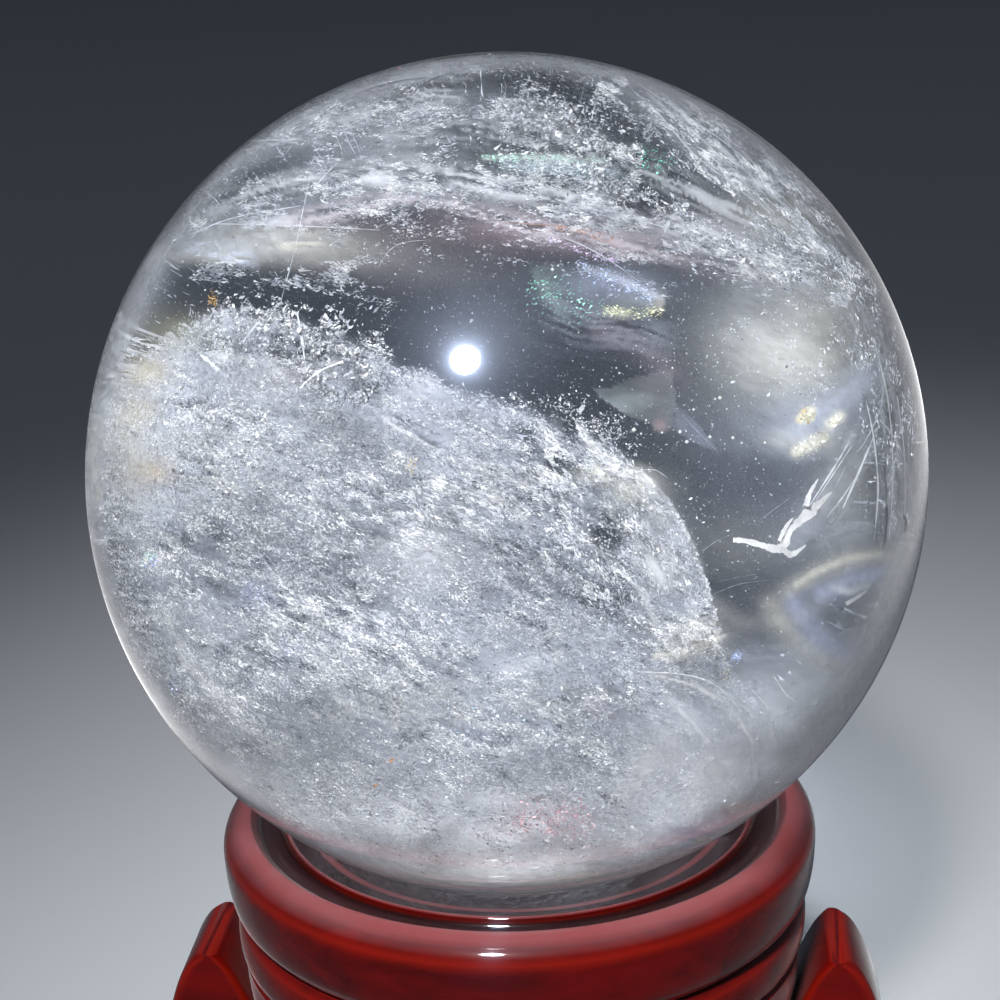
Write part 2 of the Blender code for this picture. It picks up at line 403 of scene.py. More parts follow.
leg_slices = [leg_slice(front, back) for front, back in zip(*leg_sides(), strict=True)]
slice_size = len(leg_slices[0])
leg_points = [Vector(point) for points in leg_slices for point in points]
for number, name in enumerate(("right", "back", "left", "front")):
    turned = Matrix.Rotation(number * math.pi / 2, 3, "Z")
    points = [turned @ point for point in leg_points]
    leg = smooth_mesh(f"carved_leg_{name}", points, banded(len(leg_slices), slice_size), 40)
    leg.data.materials.append(lacquer)
    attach(leg, "root")
    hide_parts(f"leg_{name}")

# The ball is ground and polished from one piece of natural rock crystal, as clear as glass
# between its clouds. It bends light as quartz does, and takes a faint cool tint from its depth.
BALL_FINENESS = 7
QUARTZ_IOR = 1.544
LAMP_PASS = 0.8  # of lamplight that a polished face lets in
DEPTH_TINT = (0.42, 0.50, 0.60, 1)
DEPTH_DENSITY = 5.0

bpy.ops.mesh.primitive_ico_sphere_add(subdivisions=BALL_FINENESS, radius=BALL_RADIUS)
ball = bpy.context.object
ball.name = ball.data.name = "quartz_ball"
ball.data.transform(Matrix.Translation(Vector(BALL_CENTRE)))
ball.data.shade_smooth()
quartz, add, link, shader = nodes_for("clear_quartz")
shader.inputs["Base Color"].default_value = (1, 1, 1, 1)
shader.inputs["Transmission Weight"].default_value = 1.0
shader.inputs["IOR"].default_value = QUARTZ_IOR
shader.inputs["Sheen Weight"].default_value = 0.45
shader.inputs["Sheen Roughness"].default_value = 0.28
smears = add("ShaderNodeTexNoise", Scale=38.0, Detail=5.0)
link(add("ShaderNodeTexCoord").outputs["Object"], smears.inputs["Vector"])
link(ranged(add, link, smears.outputs["Fac"], (0.5, 0.8), (0.0, 0.03)), shader.inputs["Roughness"])
lit = add("ShaderNodeBsdfTransparent")
lit.inputs["Color"].default_value = (LAMP_PASS, LAMP_PASS, LAMP_PASS, 1)
either = add("ShaderNodeMixShader")
link(add("ShaderNodeLightPath").outputs["Is Shadow Ray"], either.inputs["Fac"])
link(shader.outputs["BSDF"], either.inputs[1])
link(lit.outputs["BSDF"], either.inputs[2])
output = quartz.node_tree.nodes["Material Output"]
link(either.outputs["Shader"], output.inputs["Surface"])
depth_tint = add("ShaderNodeVolumeAbsorption")
depth_tint.inputs["Color"].default_value = DEPTH_TINT
depth_tint.inputs["Density"].default_value = DEPTH_DENSITY
link(depth_tint.outputs["Volume"], output.inputs["Volume"])
ball.data.materials.append(quartz)
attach(ball, "root")
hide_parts("quartz_sphere")

# The place from which the ball is looked at. Everything inside the stone is laid where it is
# seen from here, by following the line of sight in through the curved face.
FRAME_PIXELS = 1000
VIEW_ANGLE = math.radians(26)
EYE_DISTANCE = 5.23 * BALL_RADIUS
LOOK_DOWN = math.radians(18.4)
LOOK_SIDEWAYS = math.radians(5.3)
HEAD_TILT = math.radians(2.07)
BALL_MIDDLE = (506.7, 474.3)  # the ball's middle in the picture, in pixels
BALL_REACH = 421.75  # the ball's outline in the picture, in pixels from its middle
focal = FRAME_PIXELS / 2 / math.tan(VIEW_ANGLE / 2)
level_ahead = np.array((-math.sin(LOOK_SIDEWAYS), math.cos(LOOK_SIDEWAYS), 0))
level_right = np.array((math.cos(LOOK_SIDEWAYS), math.sin(LOOK_SIDEWAYS), 0))
EYE_AHEAD = math.cos(LOOK_DOWN) * level_ahead - math.sin(LOOK_DOWN) * np.array((0, 0, 1))
level_below = np.cross(EYE_AHEAD, level_right)
EYE_RIGHT = math.cos(HEAD_TILT) * level_right + math.sin(HEAD_TILT) * level_below
EYE_BELOW = math.cos(HEAD_TILT) * level_below - math.sin(HEAD_TILT) * level_right


def sight(across, down):
    """Unit directions from the eye through pixels of the picture."""
    middle = FRAME_PIXELS / 2
    x = (np.asarray(across, float)[..., None] - middle) / focal
    y = (np.asarray(down, float)[..., None] - middle) / focal
    line = x * EYE_RIGHT + y * EYE_BELOW + EYE_AHEAD
    return line / np.linalg.norm(line, axis=-1, keepdims=True)


EYE = BALL_CENTRE - EYE_DISTANCE * sight(*BALL_MIDDLE)
camera = bpy.data.objects.new("eye", bpy.data.cameras.new("eye"))
bpy.context.scene.collection.objects.link(camera)
camera.data.angle = VIEW_ANGLE
camera.data.clip_start = 0.01
camera.matrix_world = Matrix((
    (EYE_RIGHT[0], -EYE_BELOW[0], -EYE_AHEAD[0], EYE[0]),
    (EYE_RIGHT[1], -EYE_BELOW[1], -EYE_AHEAD[1], EYE[1]),
    (EYE_RIGHT[2], -EYE_BELOW[2], -EYE_AHEAD[2], EYE[2]),
    (0, 0, 0, 1),
))
bpy.context.scene.camera = camera


def face_at(across, down):
    """Where lines of sight meet the ball's near face, and their directions."""
    line = sight(across, down)
    back = EYE - BALL_CENTRE
    along = (line * back).sum(-1, keepdims=True)
    gap = np.maximum(along**2 - (back @ back - BALL_RADIUS**2), 0)
    return EYE + line * (-along - np.sqrt(gap)), line


def inside(across, down, share):
    """Points in the stone seen at pixels; share runs from 0, the near face, to 1, the far one."""
    at, line = face_at(across, down)
    out = (at - BALL_CENTRE) / BALL_RADIUS
    cosine = -(line * out).sum(-1, keepdims=True)
    ratio = 1 / QUARTZ_IOR
    bent = ratio * line + (ratio * cosine - np.sqrt(1 - ratio**2 * (1 - cosine**2))) * out
    chord = -2 * (bent * (at - BALL_CENTRE)).sum(-1, keepdims=True)
    return at + bent * chord * np.asarray(share, float)[..., None]


# The snow in the ball's lower left half is healed cracks and trapped fluid in the crystal:
# countless flecks, each a fraction of a millimetre, thick in some drifts and open in others.
# It lies in three crumpled layers, one behind the other, on two sheets of milky haze.
SNOW_LAYERS = (  # flecks, near share, far share, spread of share, size of a fleck
    (195_000, 0.05, 0.19, 0.015, 0.066 * MM),
    (135_000, 0.26, 0.46, 0.03, 0.08 * MM),
    (60_000, 0.50, 0.80, 0.04, 0.10 * MM),
)
SNOW_SEED = 11
SNOW_THROW = 300_000  # flecks tried at a time
SNOW_EDGE_ACROSS = (84, 110, 150, 220, 300, 370, 400, 450, 540, 600, 640, 670, 700, 715, 728, 760, 800, 930)
SNOW_EDGE_DOWN = (460, 400, 345, 312, 322, 342, 362, 388, 415, 432, 470, 505, 565, 620, 670, 720, 790, 860)
SNOW_THICK = (  # across, down, half width, half height, weight
    (240, 445, 120, 26, 0.35), (190, 470, 70, 40, 0.25), (425, 560, 50, 46, 0.45), (470, 620, 80, 40, 0.35),
    (528, 664, 60, 20, 0.5), (300, 650, 130, 40, 0.3), (615, 478, 36, 14, 0.6),
    (668, 540, 30, 40, 0.3), (692, 636, 34, 24, 0.9), (560, 780, 170, 60, 0.2),
)
SNOW_OPEN = (  # where it opens up, in the same terms
    (367, 498, 34, 12, 0.9), (384, 536, 28, 9, 0.8), (446, 531, 32, 7, 0.8), (188, 536, 26, 16, 0.7),
    (205, 590, 30, 14, 0.8), (430, 440, 40, 10, 0.9), (200, 406, 36, 5, 0.9), (245, 419, 26, 5, 0.8),
    (352, 608, 38, 8, 0.6), (412, 420, 26, 7, 0.8), (572, 448, 60, 36, 1.2), (525, 470, 44, 14, 0.9),
    (543, 555, 50, 14, 0.8), (495, 507, 34, 9, 0.7), (585, 520, 76, 28, 0.9), (655, 560, 34, 18, 0.8),
    (590, 600, 40, 14, 0.8), (598, 706, 36, 18, 0.9), (456, 722, 44, 10, 0.7), (240, 344, 44, 18, 0.9),
    (290, 340, 40, 20, 1.1), (340, 345, 46, 22, 1.3), (360, 390, 34, 14, 1.1), (300, 380, 54, 12, 0.8),
    (700, 700, 40, 30, 0.6), (640, 640, 30, 12, 0.5), (462, 660, 40, 9, 0.5), (270, 560, 34, 8, 0.5),
    (625, 545, 70, 60, 0.7), (540, 600, 40, 10, 0.6), (480, 545, 36, 10, 0.5), (330, 560, 40, 10, 0.4),
    (240, 660, 30, 12, 0.5), (330, 705, 44, 10, 0.5),
)
SNOW_SMOOTH = (  # where the milk is smooth and carries few flecks
    (520, 866, 320, 30, 0.8), (112, 600, 34, 160, 0.6), (430, 398, 60, 16, 0.7), (500, 430, 46, 12, 0.6),
    (425, 560, 44, 34, 0.75), (528, 664, 50, 13, 0.8), (460, 610, 60, 24, 0.4), (490, 650, 34, 44, 0.5),
    (140, 372, 24, 20, 0.6), (148, 470, 22, 18, 0.6), (480, 800, 220, 34, 0.3), (290, 402, 70, 8, 0.7),
    (300, 770, 60, 30, 0.5), (590, 590, 50, 18, 0.4), (250, 520, 40, 12, 0.4), (735, 765, 62, 70, 1.0),
    (665, 770, 50, 40, 0.6),
)
SNOW_BRIGHT = (  # where the snow is whiter, or greyer where the weight is below nothing
    (200, 470, 120, 100, 0.32), (400, 710, 190, 70, 0.36), (605, 540, 90, 100, -0.36),
    (480, 425, 80, 44, -0.20), (430, 560, 80, 50, -0.18), (310, 350, 80, 40, -0.08),
    (170, 650, 80, 80, 0.12),
)
SNOW_MEAN_TONE = 0.53  # of the way from the darkest tone to the whitest
SNOW_CONTRAST = (0.7, 1.9)  # in the plain snow, and added where cracks glitter
SNOW_BRIGHT_PULL = 0.6
SNOW_SLANT = 24  # degrees that the drifts run down to the right
DRIFT = (60, 4, 2.4)  # for each kind of roughness its size in pixels, octaves and length
CLUMP = (10, 3, 3.0)
THREAD = (40, 3, 2.8)
GLITTER = (22, 3, 1.9)
GRAIN = (6, 2, 2.6)
DEPTH_SWELL = (150, 3, 1)
TORN = (14, 2, 2.2)
CLEAN_FACE_ACROSS = (600, 650)  # the snow ends at one clean face right of here,
CLEAN_FACE_DOWN = 700  # and above here
SOFT_FOOT_DOWN = (650, 740)  # below here its edge grows soft
FLECK_REACH = 0.985  # of the ball's outline, seen from the eye: flecks keep within it
HELD_REACH = 0.99  # of the ball's radius: every point is held within it
DAB_FALL = 0.9  # how soon a dab fades away from its middle
LATTICE = 64
LATTICE_SEED = 5

lattice = np.random.default_rng(LATTICE_SEED).random((LATTICE, LATTICE, LATTICE))


def rough(across, down, layer, size, octaves=4, longer=1.6, slant=SNOW_SLANT):
    """Rough noise from 0 to 1 over the picture; size is in pixels, longer stretches it."""
    turn = math.radians(slant)
    along = (across * math.cos(turn) + down * math.sin(turn)) / (size * longer)
    beside = (down * math.cos(turn) - across * math.sin(turn)) / size
    total, weight = 0, 0
    for octave in range(octaves):
        scale = 2.03**octave
        x, y = along * scale + 3.1 * octave, beside * scale + 1.7 * octave
        column, row = np.floor(x).astype(int), np.floor(y).astype(int)
        u, v = x - column, y - row
        u, v = u * u * (3 - 2 * u), v * v * (3 - 2 * v)
        plane = lattice[:, :, (layer + 7 * octave) % LATTICE]
        left, right = column % LATTICE, (column + 1) % LATTICE
        top, bottom = row % LATTICE, (row + 1) % LATTICE
        upper = plane[left, top] * (1 - u) + plane[right, top] * u
        lower = plane[left, bottom] * (1 - u) + plane[right, bottom] * u
        total = total + 0.6**octave * (upper * (1 - v) + lower * v)
        weight += 0.6**octave
    return total / weight


def rise(value, low, high):
    """From 0 at low to 1 at high, smoothly."""
    share = np.clip((value - low) / (high - low), 0, 1)
    return share * share * (3 - 2 * share)


def dabs(across, down, spots):
    """The sum of soft oval dabs at pixels of the picture."""
    total = np.zeros(np.shape(across))
    for spot_across, spot_down, half_width, half_height, weight in spots:
        away = ((across - spot_across) / half_width) ** 2 + ((down - spot_down) / half_height) ** 2
        total += weight * np.exp(-DAB_FALL * away)
    return total


def unit(rng, count):
    """Unit directions, all ways alike."""
    way = rng.normal(size=(count, 3))
    return way / np.linalg.norm(way, axis=1, keepdims=True)


def in_stone(name, points, corners_of_faces, corners_each, finishes, slots=None, tints=None):
    """A piece that lies in the stone, from arrays of points and of faces with like corner counts."""
    mesh = bpy.data.meshes.new(name)
    mesh.vertices.add(len(points))
    mesh.vertices.foreach_set("co", points.astype(np.float32).ravel())
    mesh.loops.add(len(corners_of_faces))
    mesh.loops.foreach_set("vertex_index", corners_of_faces.astype(np.int32))
    faces = len(corners_of_faces) // corners_each
    mesh.polygons.add(faces)
    mesh.polygons.foreach_set("loop_start", np.arange(0, faces * corners_each, corners_each, dtype=np.int32))
    for finish in finishes:
        mesh.materials.append(finish)
    if slots is not None:
        mesh.polygons.foreach_set("material_index", slots.astype(np.int32))
    if tints is not None:
        mesh.attributes.new("tint", "FLOAT_COLOR", "POINT").data.foreach_set("color", tints.ravel())
    mesh.update(calc_edges=True)
    made = bpy.data.objects.new(name, mesh)
    bpy.context.scene.collection.objects.link(made)
    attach(made, "root")
    return made


def held_in(points):
    """The points, with any that would stand out of the ball pulled just under its face."""
    out = points - BALL_CENTRE
    away = np.maximum(np.linalg.norm(out, axis=-1, keepdims=True), 1e-9)
    return BALL_CENTRE + out * np.minimum(1, HELD_REACH * BALL_RADIUS / away)


def flecks_piece(name, centres, sizes, finishes, tone, rng, corners=3, long=1.0, along=None, face_eye=0.7):
    """One piece made of many loose flat flecks, each a small uneven polygon."""
    count = len(centres)
    facing = unit(rng, count) - face_eye * EYE_AHEAD
    facing /= np.linalg.norm(facing, axis=1, keepdims=True)
    lean = unit(rng, count) if along is None else along + 0.4 * unit(rng, count)
    long_way = lean - (lean * facing).sum(1, keepdims=True) * facing
    long_way /= np.maximum(np.linalg.norm(long_way, axis=1, keepdims=True), 1e-9)
    short_way = np.cross(facing, long_way)
    angles = (np.arange(corners) + rng.uniform(-0.3, 0.3, (count, corners))) * 2 * np.pi / corners
    reach = np.broadcast_to(sizes, count)[:, None] * rng.uniform(0.6, 1.15, (count, corners))
    points = (
        centres[:, None]
        + (reach * np.cos(angles) * long)[..., None] * long_way[:, None]
        + (reach * np.sin(angles))[..., None] * short_way[:, None]
    )
    slots = np.clip((tone * len(finishes)).astype(int), 0, len(finishes) - 1)
    points = held_in(points).reshape(-1, 3)
    return in_stone(name, points, np.arange(count * corners), corners, finishes, slots)


def fleck_finish(name, colour, roughness=0.4, metallic=0.0):
    """One tone of fleck; the flecks of a piece take many tones between them."""
    finish, _, _, shader = nodes_for(name)
    shader.inputs["Base Color"].default_value = (*colour, 1)
    shader.inputs["Roughness"].default_value = roughness
    shader.inputs["Metallic"].default_value = metallic
    return finish


snow_gap = fleck_finish("snow_gap", (0.10, 0.11, 0.14))
snow_shade = fleck_finish("snow_shade", (0.24, 0.26, 0.30))
snow_grey = fleck_finish("snow_grey", (0.38, 0.405, 0.46))
snow_soft = fleck_finish("snow_soft", (0.49, 0.52, 0.585))
snow_pale = fleck_finish("snow_pale", (0.64, 0.665, 0.73))
snow_light = fleck_finish("snow_light", (0.80, 0.82, 0.87))
snow_white = fleck_finish("snow_white", (0.95, 0.96, 0.98))
# The soft tone stands twice, as most of the snow has it
SNOW_TONES = (snow_gap, snow_shade, snow_grey, snow_soft, snow_soft, snow_pale, snow_light, snow_white)


def snow_within(across, down, layer):
    """1 in the snow and 0 above its wandering upper edge, with a crisp face at its right."""
    edge = np.interp(across, SNOW_EDGE_ACROSS, SNOW_EDGE_DOWN)
    crisp = rise(across, *CLEAN_FACE_ACROSS) * rise(CLEAN_FACE_DOWN - down, 0, 60)
    wander = (36 - 28 * crisp) * (rough(across, down, layer + 5, 34, 3, 1) - 0.5)
    soft = 60 * rise(down, *SOFT_FOOT_DOWN)
    return rise(down - edge + wander, -6 + 4 * crisp - soft, 16 - 10 * crisp + soft)


def snow_cover(across, down, layer):
    """How thick the flecks lie, from 0 to 1: drifts of clumps with thin bright threads between."""
    drift = rise(rough(across, down, layer, *DRIFT), 0.34, 0.6)
    clump = rise(rough(across, down, layer + 1, *CLUMP), 0.38, 0.62)
    line = (1 - abs(2 * rough(across, down, layer + 2, *THREAD) - 1)) ** 12
    cover = (0.5 + 0.5 * drift) * (0.25 + 0.75 * clump) + 0.35 * line
    cover += dabs(across, down, SNOW_THICK) * (0.5 + 0.5 * clump)
    cover -= dabs(across, down, SNOW_OPEN) * (1.3 - 0.8 * clump)
    smooth = np.clip(dabs(across, down, SNOW_SMOOTH), 0, 0.9)
    return snow_within(across, down, layer) * np.clip(cover, 0.02, 1) * (1 - smooth)


def snow_share(across, down, layer, near, far):
    """How far into the stone a layer of snow lies, from its near share to its far one."""
    return near + (far - near) * rise(rough(across, down, layer + 3, *DEPTH_SWELL), 0.25, 0.75)


def over_ball(rng, count, limit=FLECK_REACH):
    """Pixels scattered evenly within a share of the ball's outline."""
    turn = rng.uniform(0, 2 * np.pi, count)
    reach = limit * BALL_REACH * np.sqrt(rng.random(count))
    return BALL_MIDDLE[0] + reach * np.cos(turn), BALL_MIDDLE[1] + reach * np.sin(turn)


for number, (flecks, near, far, spread, size) in enumerate(SNOW_LAYERS):
    rng = np.random.default_rng(SNOW_SEED + number)
    layer = 10 * number
    kept = []
    have = 0
    while have < flecks:
        across, down = over_ball(rng, SNOW_THROW)
        chosen = rng.random(SNOW_THROW) < snow_cover(across, down, layer)
        kept.append(np.stack((across[chosen], down[chosen]), 1))
        have += len(kept[-1])
    across, down = np.concatenate(kept)[:flecks].T
    share = snow_share(across, down, layer, near, far) + rng.normal(0, spread, flecks)
    centres = inside(across, down, np.clip(share, 0.03, 0.96))
    sizes = size * np.exp(rng.normal(0, 0.4, flecks))
    glitter = rise(rough(across, down, layer + 9, *GLITTER), 0.44, 0.66)
    tone = rough(across, down, layer + 4, *GRAIN) - 0.5 + rng.normal(0, 0.12, flecks)
    tone = (
        SNOW_MEAN_TONE
        + (SNOW_CONTRAST[0] + SNOW_CONTRAST[1] * glitter) * tone
        + SNOW_BRIGHT_PULL * dabs(across, down, SNOW_BRIGHT)
    )
    snow = flecks_piece(
        f"snow_{number + 1}", centres, sizes, SNOW_TONES, np.clip(tone, 0, 0.999), rng,
        long=2.1, along=EYE_RIGHT + 0.45 * EYE_BELOW,
    )
    snow.visible_shadow = number == 0  # light wanders on through the deeper snow


# Soft sheets of haze carry what is too fine to see as flecks: the milk behind the snow, and
# thin veils. Each is one crumpled sheet, as thick or thin as its tint's fourth number says.
slant = math.radians(SNOW_SLANT)
drift_way = Vector(math.cos(slant) * EYE_RIGHT + math.sin(slant) * EYE_BELOW)
DRIFT_AXES = Matrix((drift_way, drift_way.cross(Vector(EYE_AHEAD)), Vector(EYE_AHEAD))).transposed()
SHEET_REACH = 0.996  # of the ball's outline, seen from the eye
THINNEST = 0.004  # haze thinner than this doesn't show


def haze_finish(name, fine_size, fine_low, fine_high, least):
    """Haze whose thickness comes from the piece's tint, broken up by fine noise in the stone."""
    finish, add, link, shader = nodes_for(name)
    tint = add("ShaderNodeAttribute", attribute_name="tint")
    link(tint.outputs["Color"], shader.inputs["Base Color"])
    place = add("ShaderNodeTexCoord").outputs["Object"]
    drawn = add("ShaderNodeMapping", vector_type="TEXTURE")  # drawn out the way the drifts run
    drawn.inputs["Rotation"].default_value = DRIFT_AXES.to_euler()
    drawn.inputs["Scale"].default_value = (3.0, 1.0, 1.0)
    link(place, drawn.inputs["Vector"])
    fine = add("ShaderNodeTexNoise", Scale=1 / fine_size, Detail=2.0, Roughness=0.65)
    link(drawn.outputs["Vector"], fine.inputs["Vector"])
    broken = ranged(add, link, fine.outputs["Fac"], (fine_low, fine_high), (least, 1.0))
    link(product(add, link, tint.outputs["Alpha"], broken), shader.inputs["Alpha"])
    shader.inputs["Roughness"].default_value = 0.6
    shader.inputs["Specular IOR Level"].default_value = 0.1
    return finish


def haze_sheet(name, share_of, tint_of, finish, step=6):
    """A sheet over the whole ball, with faces only where its tint is thick enough to show."""
    limit = SHEET_REACH * BALL_REACH
    half = int(limit / step) + 1
    columns, rows = np.meshgrid(np.arange(-half, half + 1), np.arange(-half, half + 1))
    reach = np.maximum(np.hypot(columns, rows) * step, 1e-6).ravel()
    pull = step * np.minimum(1, limit / reach)  # brings the outermost points onto one circle
    across, down = BALL_MIDDLE[0] + columns.ravel() * pull, BALL_MIDDLE[1] + rows.ravel() * pull
    tints = tint_of(across, down)
    number = np.arange(len(across)).reshape(columns.shape)
    corners = np.stack((number[:-1, :-1], number[:-1, 1:], number[1:, 1:], number[1:, :-1]), -1)
    corners = corners.reshape(-1, 4)
    corners = corners[(reach < limit)[corners].any(1) & (tints[:, 3] > THINNEST)[corners].any(1)]
    used, corners = np.unique(corners, return_inverse=True)
    points = inside(across[used], down[used], np.clip(share_of(across[used], down[used]), 0.02, 0.97))
    made = in_stone(name, points, corners.ravel(), 4, (finish,), tints=tints[used].astype(np.float32))
    made.data.shade_smooth()
    made.visible_shadow = made.visible_diffuse = False  # too thin to shade the stone or the stand
    return made


def painted(across, down, base, dabs_list, strokes_list, fine=0):
    """Tints and cover from dabs and strokes, each laid over the ones before it."""
    tints = np.tile(np.array(base, float), (len(across), 1))
    for spot_across, spot_down, half_width, half_height, weight, colour in dabs_list:
        away = ((across - spot_across) / half_width) ** 2 + ((down - spot_down) / half_height) ** 2
        laid_over(tints, weight * np.exp(-DAB_FALL * away), colour)
    for path, half_width, weight, colour in strokes_list:
        off, along = beside_path(across, down, path)
        cover = weight * np.exp(-DAB_FALL * (off / half_width) ** 2)
        if fine:  # torn into long threads that follow the path
            cover *= rise(rough(along, off, int(path[0][0]) % LATTICE, fine, 3, 14, 0), 0.36, 0.62)
            cover *= rise(along, 0, 2 * half_width) * rise(along.max() - along, 0, 2 * half_width)
        laid_over(tints, cover, colour)
    return tints


def laid_over(tints, cover, colour):
    """Lays more of one colour over tints, which are changed in place."""
    together = cover + tints[:, 3] * (1 - cover)
    mix = (cover / np.maximum(together, 1e-6))[:, None]
    tints[:, :3] = tints[:, :3] * (1 - mix) + np.array(colour) * mix
    tints[:, 3] = together


def beside_path(across, down, path):
    """How far pixels lie to the right of a path, and how far along it, both in pixels."""
    off, along, passed = np.full(len(across), np.inf), np.zeros(len(across)), 0
    for (x0, y0), (x1, y1) in zip(path, path[1:]):
        step = np.array((x1 - x0, y1 - y0), float)
        part = np.clip(((across - x0) * step[0] + (down - y0) * step[1]) / (step @ step), 0, 1)
        away_x, away_y = across - x0 - part * step[0], down - y0 - part * step[1]
        away = np.hypot(away_x, away_y) * np.sign(step[0] * away_y - step[1] * away_x + 1e-9)
        nearer = abs(away) < abs(off)
        off[nearer] = away[nearer]
        along[nearer] = (passed + part * np.hypot(*step))[nearer]
        passed += np.hypot(*step)
    return off, along


MILK = (0.66, 0.69, 0.76)
MILK_BLUE = (0.62, 0.67, 0.80)
MILK_PALE = (0.74, 0.76, 0.81)
LOW_MILK = (0.85, 0.86, 0.92)
MILK_WARM = (0.88, 0.87, 0.79)
# Pink laid on the milk as painted reflection of the red stand
MILK_PAINTED_STAND_RED = (0.60, 0.44, 0.47)
SNOW_MILK = (0.46, 0.49, 0.56)
MILK_FOOT_DOWN = (740, 840)  # the milk thins out between these
milk_finish = haze_finish("snow_milk", 0.5 * MM, 0.34, 0.60, 0.45)
thin_finish = haze_finish("thin_haze", 0.8 * MM, 0.3, 0.66, 0.75)


def milk_tints(layer, weight, colour, thinning):
    """Milk behind the snow, as thick as its drifts, that thins towards the ball's outline."""
    def tint_of(across, down):
        drift = rise(rough(across, down, layer, *DRIFT), 0.3, 0.56)
        cover = 0.62 + 0.38 * drift + 0.5 * dabs(across, down, SNOW_THICK)
        torn = rise(rough(across, down, layer + 6, *TORN), 0.3, 0.6)
        cover = cover - 1.1 * torn * dabs(across, down, SNOW_OPEN)
        cover = weight * np.clip(cover, 0.05, 1) * snow_within(across, down, layer)
        cover *= 1 - 0.8 * rise(down, *MILK_FOOT_DOWN)
        reach = np.hypot(across - BALL_MIDDLE[0], down - BALL_MIDDLE[1]) / BALL_REACH
        cover *= 1 - rise(reach, thinning, 0.99)
        bright = 1 + dabs(across, down, SNOW_BRIGHT)
        return np.stack((*(part * bright for part in colour), cover), 1)
    return tint_of


def wavy(share, sway, layer=0, size=160):
    """How far into the stone a sheet lies: a share of the way, swaying a little."""
    return lambda across, down: share + sway * rough(across, down, layer, size, 2, 1)


haze_sheet("milk_front", wavy(0.25, 0.03, 3, 150), milk_tints(0, 0.8, SNOW_MILK, 0.86), milk_finish)
haze_sheet("milk_rear", wavy(0.50, 0.04, 13, 150), milk_tints(10, 0.85, SNOW_MILK, 0.74), milk_finish)

# Thin clouds in the clear part: a pale bloom at the right, milk low in the ball, and bands that
# follow the veils across the top.
CLOUD_DABS = (  # across, down, half width, half height, weight, colour
    (506, 474, 460, 460, 0.04, MILK_BLUE), (850, 590, 120, 250, 0.12, MILK_BLUE),
    (886, 666, 56, 130, 0.46, (0.90, 0.93, 1.0)), (375, 155, 90, 36, 0.30, MILK),
    (790, 345, 60, 50, 0.76, (0.95, 0.94, 0.87)), (855, 310, 36, 60, 0.45, MILK_WARM),
    (760, 300, 40, 40, 0.25, MILK),
    (815, 425, 62, 32, 0.45, MILK_BLUE), (800, 440, 30, 10, 0.5, MILK_WARM), (730, 320, 60, 70, 0.10, MILK),
    # The pink dabs are painted reflection of the red stand
    (560, 232, 150, 18, 0.28, MILK_PAINTED_STAND_RED), (620, 285, 56, 18, 0.35, MILK_BLUE),
    (640, 240, 60, 14, 0.35, MILK_PAINTED_STAND_RED),
    (790, 215, 44, 20, 0.45, (0.62, 0.60, 0.36)), (830, 235, 30, 24, 0.4, (0.70, 0.72, 0.66)),
    (700, 235, 90, 16, 0.35, MILK), (260, 240, 90, 16, 0.42, MILK_WARM), (225, 248, 54, 9, 0.35, MILK_BLUE),
    (200, 255, 60, 8, 0.4, MILK_WARM), (330, 255, 60, 14, 0.35, (0.72, 0.70, 0.66)),
    (850, 480, 34, 60, 0.25, (0.76, 0.74, 0.66)), (830, 520, 40, 30, 0.15, MILK),
    (780, 500, 80, 50, 0.06, MILK_BLUE),
    (745, 545, 50, 30, 0.12, MILK_WARM), (700, 420, 60, 40, 0.10, MILK), (740, 770, 80, 60, 0.62, MILK),
    (715, 740, 60, 46, 0.45, MILK_BLUE), (740, 710, 44, 40, 0.3, MILK), (720, 830, 70, 26, 0.6, MILK_BLUE),
    (480, 330, 60, 46, 0.10, MILK_BLUE), (420, 270, 70, 18, 0.14, (0.60, 0.55, 0.56)),
)
CLOUD_STROKES = (  # path in the picture, half width, weight, colour
    (((215, 150), (300, 128), (400, 112), (480, 100), (540, 118), (600, 150)), 17, 0.22, MILK),
    (((190, 236), (260, 214), (340, 196), (420, 192), (520, 200), (600, 215), (680, 235), (760, 262),
      (850, 300)), 12, 0.25, MILK),
    (((640, 85), (700, 140), (760, 195), (850, 262), (890, 330)), 26, 0.32, MILK),
    (((870, 260), (900, 340), (915, 440), (912, 540), (890, 640)), 20, 0.18, MILK_PALE),
    (((790, 545), (812, 515), (838, 480), (862, 442)), 12, 0.25, MILK),
)
LOW_DABS = (  # the milk along the foot of the ball
    (520, 836, 320, 62, 0.86, LOW_MILK), (520, 880, 260, 24, 0.8, (0.93, 0.93, 0.94)),
    (735, 775, 90, 66, 0.95, (0.90, 0.91, 0.96)), (250, 770, 70, 60, 0.45, LOW_MILK),
    # The pink dabs are painted reflection of the red stand
    (300, 770, 66, 38, 0.35, (0.84, 0.86, 0.82)), (570, 826, 26, 20, 0.40, MILK_PAINTED_STAND_RED),
    (512, 815, 16, 12, 0.35, MILK_PAINTED_STAND_RED), (600, 705, 34, 14, 0.25, (0.52, 0.40, 0.44)),
    (826, 728, 54, 60, 0.55, (0.82, 0.86, 0.95)),
)
